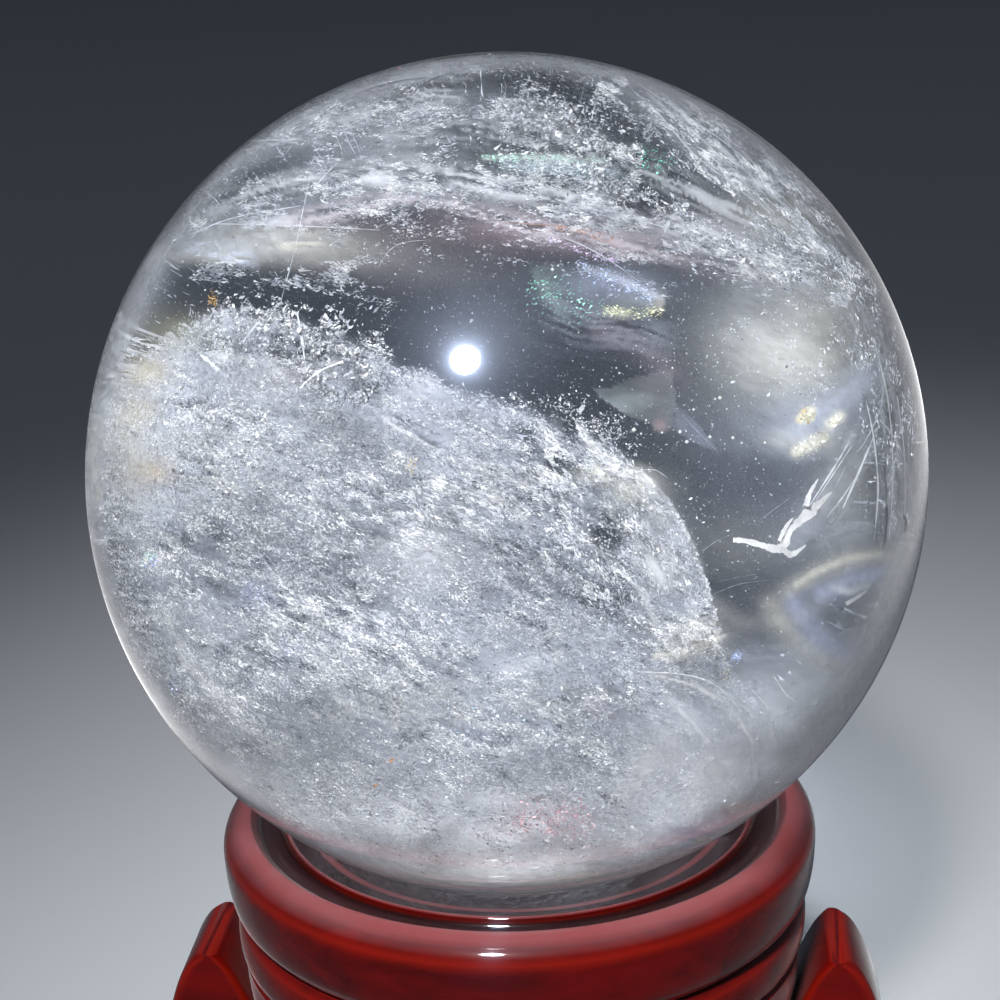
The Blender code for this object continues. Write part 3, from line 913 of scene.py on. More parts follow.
NEAR_DABS = (  # stains and blue shades close under the near face
    (692, 636, 30, 17, 0.55, (0.86, 0.86, 0.78)), (605, 474, 24, 7, 0.75, (0.94, 0.95, 0.82)),
    (635, 490, 26, 16, 0.45, (0.74, 0.75, 0.70)), (528, 664, 52, 14, 0.45, (0.66, 0.72, 0.84)),
    (425, 560, 46, 40, 0.22, MILK),
    (470, 615, 60, 26, 0.20, MILK_BLUE), (262, 598, 14, 9, 0.35, (0.42, 0.48, 0.90)),
    (292, 650, 16, 12, 0.30, (0.45, 0.52, 0.92)), (252, 588, 8, 6, 0.3, (0.42, 0.50, 0.90)),
    (482, 737, 16, 8, 0.3, (0.35, 0.40, 0.75)),
    (148, 372, 20, 14, 0.40, (0.66, 0.58, 0.36)), (141, 410, 18, 10, 0.3, (0.66, 0.60, 0.40)),
    (152, 472, 20, 14, 0.42, (0.62, 0.50, 0.34)), (128, 440, 22, 70, 0.25, (0.62, 0.60, 0.48)),
    (170, 335, 40, 22, 0.25, (0.54, 0.52, 0.34)), (180, 330, 14, 8, 0.2, (0.50, 0.58, 0.50)),
    (180, 690, 60, 50, 0.30, MILK), (240, 760, 60, 50, 0.35, MILK), (200, 640, 60, 30, 0.15, MILK),
    (800, 740, 50, 60, 0.40, MILK), (735, 772, 60, 46, 0.5, (0.82, 0.83, 0.89)),
)
PAINTED_EDGE_REFLECTION_STROKES = (  # painted reflection: the pale band that runs round the ball's outline
    (((150, 262), (108, 360), (93, 460), (98, 560), (128, 650), (180, 740), (250, 815)), 17, 0.5, MILK),
    (((250, 815), (330, 862), (420, 888), (510, 893), (600, 885), (690, 850), (770, 795)), 16, 0.8,
     (0.80, 0.81, 0.88)),
    (((720, 832), (770, 795), (830, 730), (880, 650), (912, 560)), 17, 0.9, (0.95, 0.97, 1.0)),
    (((150, 262), (230, 165), (330, 100), (430, 66), (530, 58), (640, 76), (740, 125), (830, 205)), 9, 0.4,
     MILK),
    (((96, 420), (94, 470), (98, 500)), 3, 0.4, (0.90, 0.84, 0.50)),
)
LOW_MILK_DOWN = (600, 760, 890)  # the foot's milk comes nearer to the face as it goes down
LOW_MILK_SHARES = (0.48, 0.39, 0.12)


def brushed(colour, dabs_list, strokes_list, fine=0):
    """Tints for a sheet, clear apart from dabs and strokes that are laid on it."""
    return lambda across, down: painted(across, down, (*colour, 0.0), dabs_list, strokes_list, fine)


haze_sheet("cloud_veils", wavy(0.5, 0.04, 58), brushed(MILK, CLOUD_DABS, CLOUD_STROKES), thin_finish)
haze_sheet("low_milk", lambda across, down: np.interp(down, LOW_MILK_DOWN, LOW_MILK_SHARES),
           brushed(LOW_MILK, LOW_DABS, ()), thin_finish)
# The pale band round the outline on this sheet is painted reflection
haze_sheet("near_milk_and_edge_reflection", wavy(0.20, 0.02, 59), brushed(MILK, NEAR_DABS, PAINTED_EDGE_REFLECTION_STROKES), thin_finish)

# Right under the near face lie the sugary blocks and pale threads, with painted shade in the gaps between
# drifts and along cracks. They are drawn on a finer sheet than the rest.
THREAD_PALE = (0.92, 0.93, 0.96)
BLOCK_STROKES = (  # path in the picture, half width, weight, colour
    (((656, 652), (680, 644), (704, 634), (732, 622)), 13, 1.0, (0.86, 0.87, 0.82)),
    (((650, 658), (690, 652), (726, 634)), 4, 0.9, (0.95, 0.95, 0.88)),
    (((582, 472), (600, 473), (618, 471)), 6, 1.0, (0.90, 0.91, 0.78)),
    (((612, 478), (636, 486), (656, 502)), 14, 0.85, (0.76, 0.77, 0.72)),
    (((488, 673), (530, 665), (572, 655)), 9, 0.45, MILK_PALE),
    (((385, 398), (430, 394), (470, 408)), 12, 0.30, MILK),
    (((388, 566), (425, 548), (462, 556)), 20, 0.25, MILK_PALE),
    # The dark strokes are painted shade along cracks and in the gaps between drifts
    (((168, 404), (200, 402), (240, 414), (268, 426)), 4, 0.55, (0.12, 0.13, 0.16)),
    (((262, 398), (320, 400), (372, 414), (420, 446), (480, 470)), 3, 0.45, (0.14, 0.15, 0.18)),
    (((380, 416), (430, 446), (480, 466), (540, 490)), 3, 0.35, (0.95, 0.96, 1.0)),
    (((440, 462), (490, 478), (540, 482)), 7, 0.40, (0.16, 0.17, 0.20)),
    (((640, 470), (668, 500), (694, 548), (714, 606), (722, 640)), 3, 0.40, (0.90, 0.92, 0.96)),
    (((600, 500), (640, 540), (668, 590)), 5, 0.36, (0.80, 0.82, 0.86)),
    (((560, 520), (600, 548), (640, 590), (660, 630)), 4, 0.30, (0.86, 0.88, 0.92)),
    (((200, 640), (214, 690), (250, 712)), 5, 0.35, THREAD_PALE),
    (((165, 600), (185, 660), (230, 720), (290, 760)), 6, 0.30, THREAD_PALE),
    (((330, 700), (390, 720), (450, 716), (500, 730)), 5, 0.35, THREAD_PALE),
    (((520, 700), (560, 720), (610, 690)), 5, 0.35, THREAD_PALE),
    (((390, 752), (440, 742), (500, 752), (540, 740)), 4, 0.35, THREAD_PALE),
    (((430, 790), (500, 800), (580, 780)), 5, 0.25, THREAD_PALE),
    (((590, 700), (604, 712), (600, 726)), 7, 0.45, (0.30, 0.27, 0.31)),
    (((340, 500), (370, 496), (404, 506)), 6, 0.40, (0.20, 0.21, 0.25)),
    (((644, 672), (690, 684), (730, 708), (752, 742), (758, 792)), 4, 0.6, (0.93, 0.93, 0.95)),
    (((660, 690), (690, 720), (716, 752)), 6, 0.4, (0.90, 0.90, 0.93)),
    (((372, 534), (396, 540), (430, 560)), 5, 0.35, (0.20, 0.21, 0.25)),
)
BLOCK_DABS = (  # across, down, half width, half height, weight, colour
    (148, 372, 16, 11, 0.28, (0.62, 0.56, 0.40)), (141, 412, 14, 9, 0.22, (0.62, 0.57, 0.42)),
    (154, 472, 15, 10, 0.30, (0.56, 0.46, 0.34)), (126, 440, 18, 60, 0.20, (0.66, 0.64, 0.50)),
    (665, 556, 22, 46, 0.30, MILK), (425, 560, 40, 30, 0.30, MILK), (222, 356, 9, 6, 0.5, MILK_PALE),
    (715, 772, 18, 17, 0.40, (0.92, 0.91, 0.93)), (672, 745, 12, 22, 0.28, (0.90, 0.89, 0.91)),
    (645, 762, 15, 20, 0.40, (0.90, 0.91, 0.94)), (700, 730, 40, 30, 0.20, MILK_BLUE),
    (280, 378, 34, 16, 0.35, (0.55, 0.56, 0.60)), (724, 812, 20, 15, 0.32, (0.93, 0.90, 0.89)),
    # The blue and the yellow dab at the foot on the right are painted glints
    (630, 795, 15, 20, 0.30, (0.92, 0.91, 0.94)), (686, 832, 18, 9, 0.50, (0.55, 0.58, 1.0)),
    # The two dark dabs that end the list are painted shade beside the sugary block
    (703, 840, 9, 3, 0.55, (1.0, 0.96, 0.66)), (684, 607, 24, 8, 0.38, (0.26, 0.29, 0.38)),
    (716, 664, 20, 7, 0.35, (0.36, 0.38, 0.44)),
)
haze_sheet("near_blocks", wavy(0.045, 0), brushed(MILK, BLOCK_DABS, BLOCK_STROKES, 2.2), thin_finish, 2.5)

# Wisps of cloud, torn into threads, hang further in, and painted arcs and glints in cream, blue or green
# show where a crack throws back the light.
WISP_STROKES = (  # path in the picture, half width, weight, colour
    (((180, 226), (223, 204), (268, 188), (313, 178), (358, 172), (409, 175)), 12, 0.55, MILK_PALE),
    (((200, 180), (242, 152), (287, 140), (330, 132)), 8, 0.75, MILK_PALE),
    (((160, 262), (200, 238), (250, 226), (300, 222), (360, 232)), 9, 0.6, MILK),
    (((313, 108), (332, 124), (351, 118), (396, 106), (435, 95), (473, 98)), 13, 0.7, MILK_PALE),
    (((360, 140), (420, 135), (470, 128), (520, 140), (580, 150)), 16, 0.42, MILK_PALE),
    (((486, 104), (530, 118), (575, 138), (610, 160)), 13, 0.62, MILK_PALE),
    (((351, 176), (409, 172), (460, 178), (499, 188), (550, 194), (589, 200), (640, 213), (700, 232),
      (760, 258), (830, 290)), 11, 0.8, MILK_PALE),
    (((268, 226), (332, 213), (396, 200), (473, 210), (525, 226), (589, 236), (640, 249), (720, 262),
      (800, 284)), 10, 0.6, (0.68, 0.62, 0.68)),
    (((166, 236), (198, 249), (236, 257), (262, 262)), 7, 0.65, (0.62, 0.68, 0.84)),
    (((270, 246), (300, 243), (330, 241)), 8, 0.5, (0.78, 0.76, 0.66)),
    (((640, 80), (700, 130), (760, 185), (830, 240), (880, 300)), 17, 0.75, MILK_PALE),
    (((600, 150), (680, 185), (740, 215), (800, 240)), 12, 0.6, MILK_PALE),
    (((560, 68), (640, 92), (700, 128)), 12, 0.4, MILK),
    (((850, 255), (880, 330), (897, 420), (902, 520), (890, 600)), 12, 0.85, MILK_PALE),
    (((868, 300), (884, 380), (890, 460), (888, 540)), 8, 0.7, MILK_PALE),
    (((836, 290), (858, 350), (870, 420), (866, 470)), 10, 0.5, MILK),
    (((800, 535), (826, 496), (848, 447), (857, 428)), 5, 0.8, MILK_PALE),
    (((826, 528), (846, 500), (862, 466), (874, 436)), 4, 0.8, MILK_PALE),
    (((812, 548), (850, 530), (890, 530)), 8, 0.4, MILK),
    (((150, 262), (200, 190), (270, 130), (350, 92), (430, 72), (500, 66)), 12, 0.5, MILK),
    (((92, 470), (98, 560), (128, 650), (180, 740)), 18, 0.35, MILK),
    (((520, 300), (580, 325), (640, 330), (690, 350)), 20, 0.25, MILK_BLUE),
    (((700, 640), (760, 660), (830, 650)), 14, 0.3, MILK_BLUE),
    (((640, 672), (700, 690), (760, 740), (800, 770)), 16, 0.5, MILK_PALE),
    (((620, 740), (680, 760), (740, 790)), 20, 0.5, MILK_PALE),
    (((906, 400), (914, 460), (912, 530), (898, 600)), 6, 0.8, MILK_PALE),
    (((862, 240), (892, 310), (910, 400), (914, 500), (900, 600), (872, 680)), 14, 0.6, MILK_PALE),
)
# Painted highlights: glints and glow where light comes back off cracks and the ball's foot
PAINTED_GLINT_STROKES = (  # in the same terms
    (((790, 590), (815, 574), (845, 560), (880, 555), (915, 558)), 9, 0.38, (0.92, 0.90, 0.78)),
    (((796, 584), (820, 570), (850, 558), (880, 554)), 3, 0.42, (0.98, 0.96, 0.84)),
    (((822, 594), (850, 582), (880, 573), (915, 576)), 10, 0.50, (0.66, 0.73, 1.0)),
    (((835, 588), (850, 592), (866, 586)), 4, 0.55, (0.92, 0.94, 0.98)),
    (((772, 606), (794, 640), (826, 662), (866, 676)), 12, 0.34, (0.90, 0.88, 0.78)),
    (((796, 606), (818, 638), (848, 654), (880, 652)), 12, 0.42, (0.64, 0.71, 1.0)),
    (((714, 604), (745, 624), (790, 622), (822, 604)), 9, 0.16, (0.82, 0.82, 0.78)),
    (((700, 640), (750, 656), (800, 650)), 10, 0.12, (0.76, 0.80, 0.92)),
    (((800, 700), (840, 690), (880, 650)), 14, 0.22, (0.78, 0.80, 0.86)),
    (((484, 158), (540, 156), (604, 161)), 2.5, 0.34, (0.80, 0.96, 0.90)),
    (((506, 166), (560, 168), (615, 173)), 6, 0.26, (0.72, 0.88, 0.96)),
    (((586, 268), (622, 280), (660, 298)), 3, 0.26, (0.76, 0.82, 1.0)),
    (((606, 311), (626, 313)), 3, 0.28, (0.88, 0.92, 0.62)),
    (((648, 311), (662, 309)), 2.5, 0.2, (0.92, 0.90, 0.62)),
    (((536, 270), (552, 300), (566, 318)), 5, 0.07, (0.45, 0.80, 0.66)),
    (((600, 330), (640, 345), (672, 372)), 12, 0.12, (0.60, 0.50, 0.60)),
    (((800, 432), (832, 408), (862, 378)), 15, 0.40, (0.72, 0.79, 0.98)),
    (((796, 452), (810, 445), (824, 437)), 5.5, 0.85, (0.97, 0.95, 0.80)),
    (((800, 419), (806, 412)), 4, 0.8, (1.0, 0.86, 0.50)),
    (((803, 419), (812, 410)), 4, 0.9, (1.0, 0.98, 0.80)),
    (((830, 424), (840, 416)), 5, 0.95, (1.0, 0.98, 0.84)),
    (((690, 842), (715, 832), (738, 815)), 8, 0.55, (0.55, 0.56, 0.98)),
    (((735, 812), (762, 800), (788, 778)), 6, 0.40, (0.92, 0.90, 0.72)),
    (((425, 884), (470, 890), (515, 889)), 4, 0.40, (0.60, 0.64, 0.98)),
    (((520, 884), (560, 880), (600, 876)), 4, 0.45, (0.95, 0.92, 0.66)),
    (((640, 870), (700, 850), (752, 818)), 3, 0.55, (0.98, 0.97, 0.92)),
)
haze_sheet("wisps", wavy(0.38, 0.04, 60), brushed(MILK, (), WISP_STROKES, 3.0), thin_finish, 3)
# This sheet's arcs and glints are painted highlights
haze_sheet("painted_glint_arcs", wavy(0.30, 0), brushed(MILK, (), PAINTED_GLINT_STROKES), thin_finish, 3)

# Veils hang across the clear upper part: healed cracks seen edge on, drawn out into streaks
# that run with the curve of the ball, and more of them close along its right side.
VEILS = (  # path in the picture, half width, near and far share, flecks, how long each is
    (((215, 150), (300, 128), (400, 112), (480, 100), (540, 118), (600, 150), (625, 168)), 17,
     0.30, 0.36, 8_000, 3),
    (((300, 160), (380, 165), (440, 165), (500, 160), (560, 168), (640, 180)), 24, 0.30, 0.46, 11_000, 3),
    (((190, 236), (260, 214), (340, 196), (420, 192), (520, 200), (600, 215), (680, 235), (760, 262),
      (850, 300)), 11, 0.22, 0.36, 11_000, 4),
    (((240, 205), (330, 210), (430, 216), (520, 228), (600, 244), (700, 262), (790, 280)), 16,
     0.45, 0.62, 5_000, 3),
    (((640, 92), (690, 130), (740, 180), (790, 220), (850, 262)), 15, 0.16, 0.30, 11_000, 3),
    (((600, 78), (680, 110), (760, 165), (830, 225), (880, 290)), 13, 0.3, 0.42, 7_000, 3),
    (((190, 262), (250, 262), (330, 272), (400, 278)), 13, 0.5, 0.66, 2_000, 3),
    (((870, 270), (893, 340), (906, 420), (908, 500), (900, 580)), 9, 0.25, 0.4, 1_200, 3),
    (((845, 290), (862, 360), (880, 430), (888, 520)), 13, 0.3, 0.4, 1_200, 3),
    (((118, 330), (170, 240), (240, 165), (330, 108), (420, 76), (510, 66), (600, 76)), 5,
     0.2, 0.4, 1_000, 2),
    (((554, 416), (610, 458), (652, 516), (684, 576), (698, 622)), 6, 0.08, 0.12, 4_000, 5),
    (((520, 450), (580, 490), (630, 550), (660, 610)), 22, 0.08, 0.14, 6_000, 5),
    (((440, 470), (500, 500), (560, 550), (610, 600)), 26, 0.08, 0.14, 5_000, 5),
    (((160, 440), (240, 450), (330, 480), (420, 530)), 26, 0.06, 0.12, 6_000, 4),
    (((180, 560), (260, 590), (350, 640), (430, 700)), 30, 0.08, 0.14, 6_000, 5),
)
VEIL_SEED = 31


def stretches(path):
    """A path's points, the steps between them, and how long each step is."""
    path = np.array(path, float)
    steps = np.diff(path, axis=0)
    return path, steps, np.linalg.norm(steps, axis=1)


def beside_steps(path, step, part, aside):
    """Pixels a part of the way along some of a path's steps, and some pixels aside."""
    path, steps, lengths = stretches(path)
    beside = np.stack((-steps[step, 1], steps[step, 0]), 1) / lengths[step, None]
    return path[step] + steps[step] * part[:, None] + beside * aside[:, None]


veil_centres, veil_along, veil_tone, veil_long = [], [], [], []
veil_rng = np.random.default_rng(VEIL_SEED)
for number, (path, half_width, near, far, flecks, long) in enumerate(VEILS):
    path, steps, lengths = stretches(path)
    drop = path[-1] - path[0]
    slant = math.degrees(math.atan2(drop[1], drop[0]))
    draws = flecks * 4
    step = veil_rng.choice(len(steps), draws, p=lengths / lengths.sum())
    part = veil_rng.random(draws)
    off = veil_rng.normal(0, 1, draws)
    spots = beside_steps(path, step, part, off * half_width)
    reach = np.linalg.norm(spots - BALL_MIDDLE, axis=1)
    streaks = rough(spots[:, 0], spots[:, 1], 30 + number, 10, 3, 3.0, slant)
    patches = rough(spots[:, 0], spots[:, 1], 40 + number, 60, 3, 1.6, slant)
    odds = rise(streaks, 0.42, 0.62) * rise(patches, 0.32, 0.56)
    chosen = (veil_rng.random(draws) < odds) & (reach < FLECK_REACH * BALL_REACH)
    spots, off, step = spots[chosen][:flecks], off[chosen][:flecks], step[chosen][:flecks]
    share = near + (far - near) * np.clip(0.5 + 0.25 * off, 0, 1)
    share += 0.05 * (rough(spots[:, 0], spots[:, 1], 50 + number, 70, 2, 1) - 0.5)
    veil_centres.append(inside(spots[:, 0], spots[:, 1], share))
    way = steps[step] / lengths[step, None]
    veil_along.append(way[:, :1] * EYE_RIGHT + way[:, 1:] * EYE_BELOW)
    veil_tone.append(rough(spots[:, 0], spots[:, 1], 55, 7, 2, 2, slant))
    veil_long.append(np.full(len(spots), float(long)))
veil_centres = np.concatenate(veil_centres)
veil_tone = np.concatenate(veil_tone) + veil_rng.normal(0, 0.16, len(veil_centres))
veils = flecks_piece(
    "veils", veil_centres, 0.06 * MM * np.exp(veil_rng.normal(0, 0.4, len(veil_centres))),
    SNOW_TONES, np.clip(0.62 + 1.3 * (veil_tone - 0.5), 0, 0.999), veil_rng,
    long=np.concatenate(veil_long)[:, None], along=np.concatenate(veil_along),
)
veils.visible_shadow = False

# Coarser chips lie where the snow breaks off: flat blades with dark gaps between them along its
# upper edge, and two sugary blocks at its right. Tinted chips flash where a crack is seen edge on.
CHIP_DRIFTS = (  # path, half width, share, chips, size, tones from, tones to
    (((200, 338), (240, 318), (290, 320), (340, 337), (380, 354)), 13, 0.08, 3200, 0.085 * MM, 1, 8),
    (((300, 345), (330, 368), (372, 392)), 18, 0.08, 2600, 0.08 * MM, 0, 8),
    (((230, 350), (270, 360), (310, 372)), 14, 0.09, 1500, 0.07 * MM, 1, 6),
    (((545, 408), (590, 425), (640, 450)), 16, 0.10, 500, 0.055 * MM, 3, 8),
    (((500, 392), (560, 405), (620, 436), (652, 470)), 4, 0.09, 400, 0.05 * MM, 3, 8),
    (((640, 470), (672, 505), (700, 560), (716, 615)), 1, 0.10, 700, 0.045 * MM, 3, 7),
    (((672, 642), (692, 636), (714, 630)), 9, 0.045, 2600, 0.045 * MM, 6, 8),
    (((585, 472), (612, 474), (640, 484)), 6, 0.09, 1400, 0.055 * MM, 4, 8),
    (((510, 110), (560, 135), (610, 165)), 17, 0.3, 3600, 0.075 * MM, 1, 8),
    (((590, 180), (650, 200), (700, 225), (760, 255), (805, 275)), 7, 0.3, 2400, 0.075 * MM, 1, 8),
    (((390, 745), (440, 730), (520, 735), (600, 700)), 26, 0.15, 2000, 0.06 * MM, 2, 8),
    (((110, 400), (150, 420), (210, 436), (270, 432)), 22, 0.07, 3000, 0.07 * MM, 3, 8),
    (((560, 520), (620, 560), (680, 590)), 34, 0.10, 1600, 0.06 * MM, 1, 8),
    (((752, 302), (790, 340), (834, 388)), 26, 0.30, 1500, 0.045 * MM, 4, 8),
    (((300, 800), (400, 838), (520, 858), (640, 838), (740, 790)), 24, 0.07, 9000, 0.05 * MM, 2, 8),
)
FLASH_DRIFTS = (  # path, half width, share, chips, colour
    (((482, 157), (540, 158), (604, 160)), 2, 0.36, 200, (0.45, 0.95, 0.74)),
    (((490, 163), (560, 166), (612, 172)), 6, 0.36, 200, (0.66, 0.88, 0.92)),
    (((500, 160), (560, 162), (606, 166)), 7, 0.35, 420, (0.90, 0.97, 1.0)),
    (((640, 152), (655, 158), (668, 172)), 8, 0.34, 130, (0.25, 0.85, 0.62)),
    (((530, 280), (560, 298), (600, 314)), 10, 0.4, 220, (0.40, 0.82, 0.66)),
    (((548, 238), (585, 252), (620, 262)), 2, 0.35, 150, (0.80, 0.66, 0.95)),
    (((576, 262), (610, 278), (656, 298)), 5, 0.38, 340, (0.66, 0.76, 1.0)),
    (((604, 310), (628, 313), (664, 312)), 3, 0.38, 160, (0.92, 0.95, 0.60)),
    (((556, 228), (590, 232), (612, 240)), 2, 0.35, 80, (0.90, 0.55, 0.45)),
    (((142, 555), (152, 562)), 5, 0.12, 70, (0.45, 0.90, 0.80)),
    (((148, 560), (155, 566)), 4, 0.12, 70, (0.40, 0.50, 1.0)),
    (((144, 556), (154, 568)), 4, 0.11, 60, (1.0, 1.0, 0.92)),
    (((250, 585), (262, 600), (268, 606)), 8, 0.12, 60, (0.60, 0.68, 1.0)),
    (((282, 640), (296, 655)), 9, 0.12, 50, (0.66, 0.72, 1.0)),
    (((170, 680), (178, 690)), 5, 0.12, 40, (0.55, 0.60, 1.0)),
    (((802, 412), (812, 419)), 4, 0.28, 60, (1.0, 0.72, 0.30)),
    (((804, 413), (814, 419)), 3, 0.26, 320, (1.0, 0.98, 0.80)),
    (((832, 418), (838, 424)), 3, 0.26, 320, (1.0, 0.99, 0.86)),
    (((796, 452), (810, 445), (826, 436)), 4, 0.28, 260, (0.98, 0.97, 0.86)),
    (((430, 884), (470, 890), (520, 888)), 3, 0.12, 160, (0.55, 0.58, 1.0)),
    (((556, 878), (600, 876)), 4, 0.12, 120, (0.96, 0.94, 0.60)),
    (((680, 846), (712, 830), (742, 812)), 5, 0.2, 300, (0.56, 0.56, 1.0)),
    (((640, 868), (700, 848), (770, 806)), 3, 0.15, 420, (1.0, 0.98, 0.88)),
    (((733, 655), (740, 660)), 4, 0.15, 90, (0.55, 0.65, 1.0)),
    (((722, 650), (728, 672), (722, 680)), 3, 0.15, 70, (0.95, 0.95, 0.66)),
    (((208, 299), (218, 299)), 4, 0.25, 70, (0.85, 0.52, 0.16)),
    (((408, 464), (415, 467)), 5, 0.06, 50, (0.85, 0.76, 0.50)),
    # The pink flecks at the ball's top are a painted glint of red light on dust
    (((398, 66), (402, 67)), 2, 0.3, 60, (0.95, 0.30, 0.38)),
    (((375, 785), (376, 786)), 1.5, 0.05, 40, (0.50, 0.22, 0.05)),
    (((391, 760), (392, 761)), 1.5, 0.05, 30, (0.50, 0.22, 0.05)),
    (((430, 725), (500, 712), (560, 720)), 14, 0.1, 70, (0.60, 0.80, 1.0)),
    # The pinkish red flecks low in the ball are painted reflection of the red stand
    (((515, 815), (560, 830), (590, 815)), 13, 0.06, 900, (0.62, 0.28, 0.32)),
)
CHIP_SEED = 71


def along_path(rng, path, half_width, count):
    """Pixels scattered along a path, most of them within half_width of it."""
    lengths = stretches(path)[2]
    step = rng.choice(len(lengths), count, p=lengths / lengths.sum())
    off = rng.normal(0, 1, count)
    return beside_steps(path, step, rng.random(count), off * half_width)


rng = np.random.default_rng(CHIP_SEED)
chip_centres, chip_sizes, chip_tones = [], [], []
for number, (path, half_width, share, chips, size, tone_from, tone_to) in enumerate(CHIP_DRIFTS):
    spots = along_path(rng, path, half_width, chips * 2)
    patches = rough(spots[:, 0], spots[:, 1], 33 + number, 9, 2, 1.3)
    spots = spots[rng.random(len(spots)) < rise(patches, 0.4, 0.58)][:chips]
    chip_centres.append(inside(spots[:, 0], spots[:, 1], share + 0.02 * rng.normal(size=len(spots))))
    chip_sizes.append(size * np.exp(rng.normal(0, 0.5, len(spots))))
    chip_tones.append(rng.uniform(tone_from, tone_to, len(spots)) / len(SNOW_TONES))
flecks_piece(
    "chips", np.concatenate(chip_centres), np.concatenate(chip_sizes), SNOW_TONES,
    np.concatenate(chip_tones), rng, corners=4, long=2.0, face_eye=0.6,
)
flash_centres, flash_tones, flash_finishes = [], [], []
for number, (path, half_width, share, chips, colour) in enumerate(FLASH_DRIFTS):
    spots = along_path(rng, path, half_width, chips)
    flash_centres.append(inside(spots[:, 0], spots[:, 1], share + 0.02 * rng.normal(size=chips)))
    flash_tones.append(np.full(chips, (number + 0.5) / len(FLASH_DRIFTS)))
    flash_finishes.append(fleck_finish(f"flash_{number + 1}", colour, 0.45, 0.6))
flash_centres = np.concatenate(flash_centres)
flecks_piece(
    "flashes", flash_centres, 0.05 * MM * np.exp(rng.normal(0, 0.4, len(flash_centres))), flash_finishes,
    np.concatenate(flash_tones), rng, corners=4, long=1.8, along=EYE_RIGHT, face_eye=1.6,
)

# Single specks and tiny bubbles hang in the clear part like dust in a beam of light, each a
# solid eight-sided grain.
SPECK_COUNT = 420
SPECK_BEAM = (675, 370)  # half of the specks hang round here in the picture
SPECK_BEAM_SPREAD = (55, 60)
SPECKS = (  # across, down, share, radius: the few that are large enough to tell apart
    (634, 430, 0.3, 0.26), (680, 432, 0.3, 0.22), (710, 437, 0.3, 0.20), (733, 438, 0.35, 0.20),
    (720, 398, 0.3, 0.24), (602, 380, 0.4, 0.13), (646, 420, 0.3, 0.12), (758, 372, 0.4, 0.16),
    (374, 115, 0.3, 0.22), (405, 112, 0.3, 0.20), (490, 54, 0.4, 0.20), (742, 190, 0.2, 0.20),
    (497, 843, 0.1, 0.26), (495, 867, 0.1, 0.30), (912, 455, 0.4, 0.22), (875, 478, 0.4, 0.18),
    (304, 290, 0.3, 0.18), (256, 245, 0.3, 0.14), (285, 245, 0.3, 0.14), (205, 290, 0.3, 0.12),
)
speck_spots = [inside(across, down, share) for across, down, share, _ in SPECKS]
speck_sizes = [radius * MM for *_, radius in SPECKS]
across, down = over_ball(rng, SPECK_COUNT, 0.95)
beam = rng.random(SPECK_COUNT) < 0.5
across[beam] = rng.normal(SPECK_BEAM[0], SPECK_BEAM_SPREAD[0], beam.sum())
down[beam] = rng.normal(SPECK_BEAM[1], SPECK_BEAM_SPREAD[1], beam.sum())
speck_spots += list(inside(across, down, rng.uniform(0.1, 0.85, SPECK_COUNT)))
speck_sizes += list(0.055 * MM * np.exp(rng.normal(0, 0.45, SPECK_COUNT)))
EIGHT_POINTS = np.array(((1, 0, 0), (-1, 0, 0), (0, 1, 0), (0, -1, 0), (0, 0, 1), (0, 0, -1)), float)
EIGHT_FACES = np.array((
    (0, 2, 4), (2, 1, 4), (1, 3, 4), (3, 0, 4), (2, 0, 5), (1, 2, 5), (3, 1, 5), (0, 3, 5),
))
speck_points = np.array(speck_spots)[:, None] + EIGHT_POINTS * np.array(speck_sizes)[:, None, None]
speck_faces = EIGHT_FACES + 6 * np.arange(len(speck_spots))[:, None, None]
speck_finish = fleck_finish("speck", (0.92, 0.93, 0.90), 0.2)
in_stone("specks", held_in(speck_points).reshape(-1, 3), speck_faces.ravel(), 3, (speck_finish,))

DUST = 24_000  # flecks so fine that they only make the clear part a little grainy
dust_spots = inside(*over_ball(rng, DUST), rng.uniform(0.04, 0.9, DUST))
dust = flecks_piece(
    "dust", dust_spots, 0.042 * MM * np.exp(rng.normal(0, 0.4, DUST)), SNOW_TONES,
    rng.random(DUST) ** 1.6, rng, long=1.6,
)
dust.visible_shadow = False

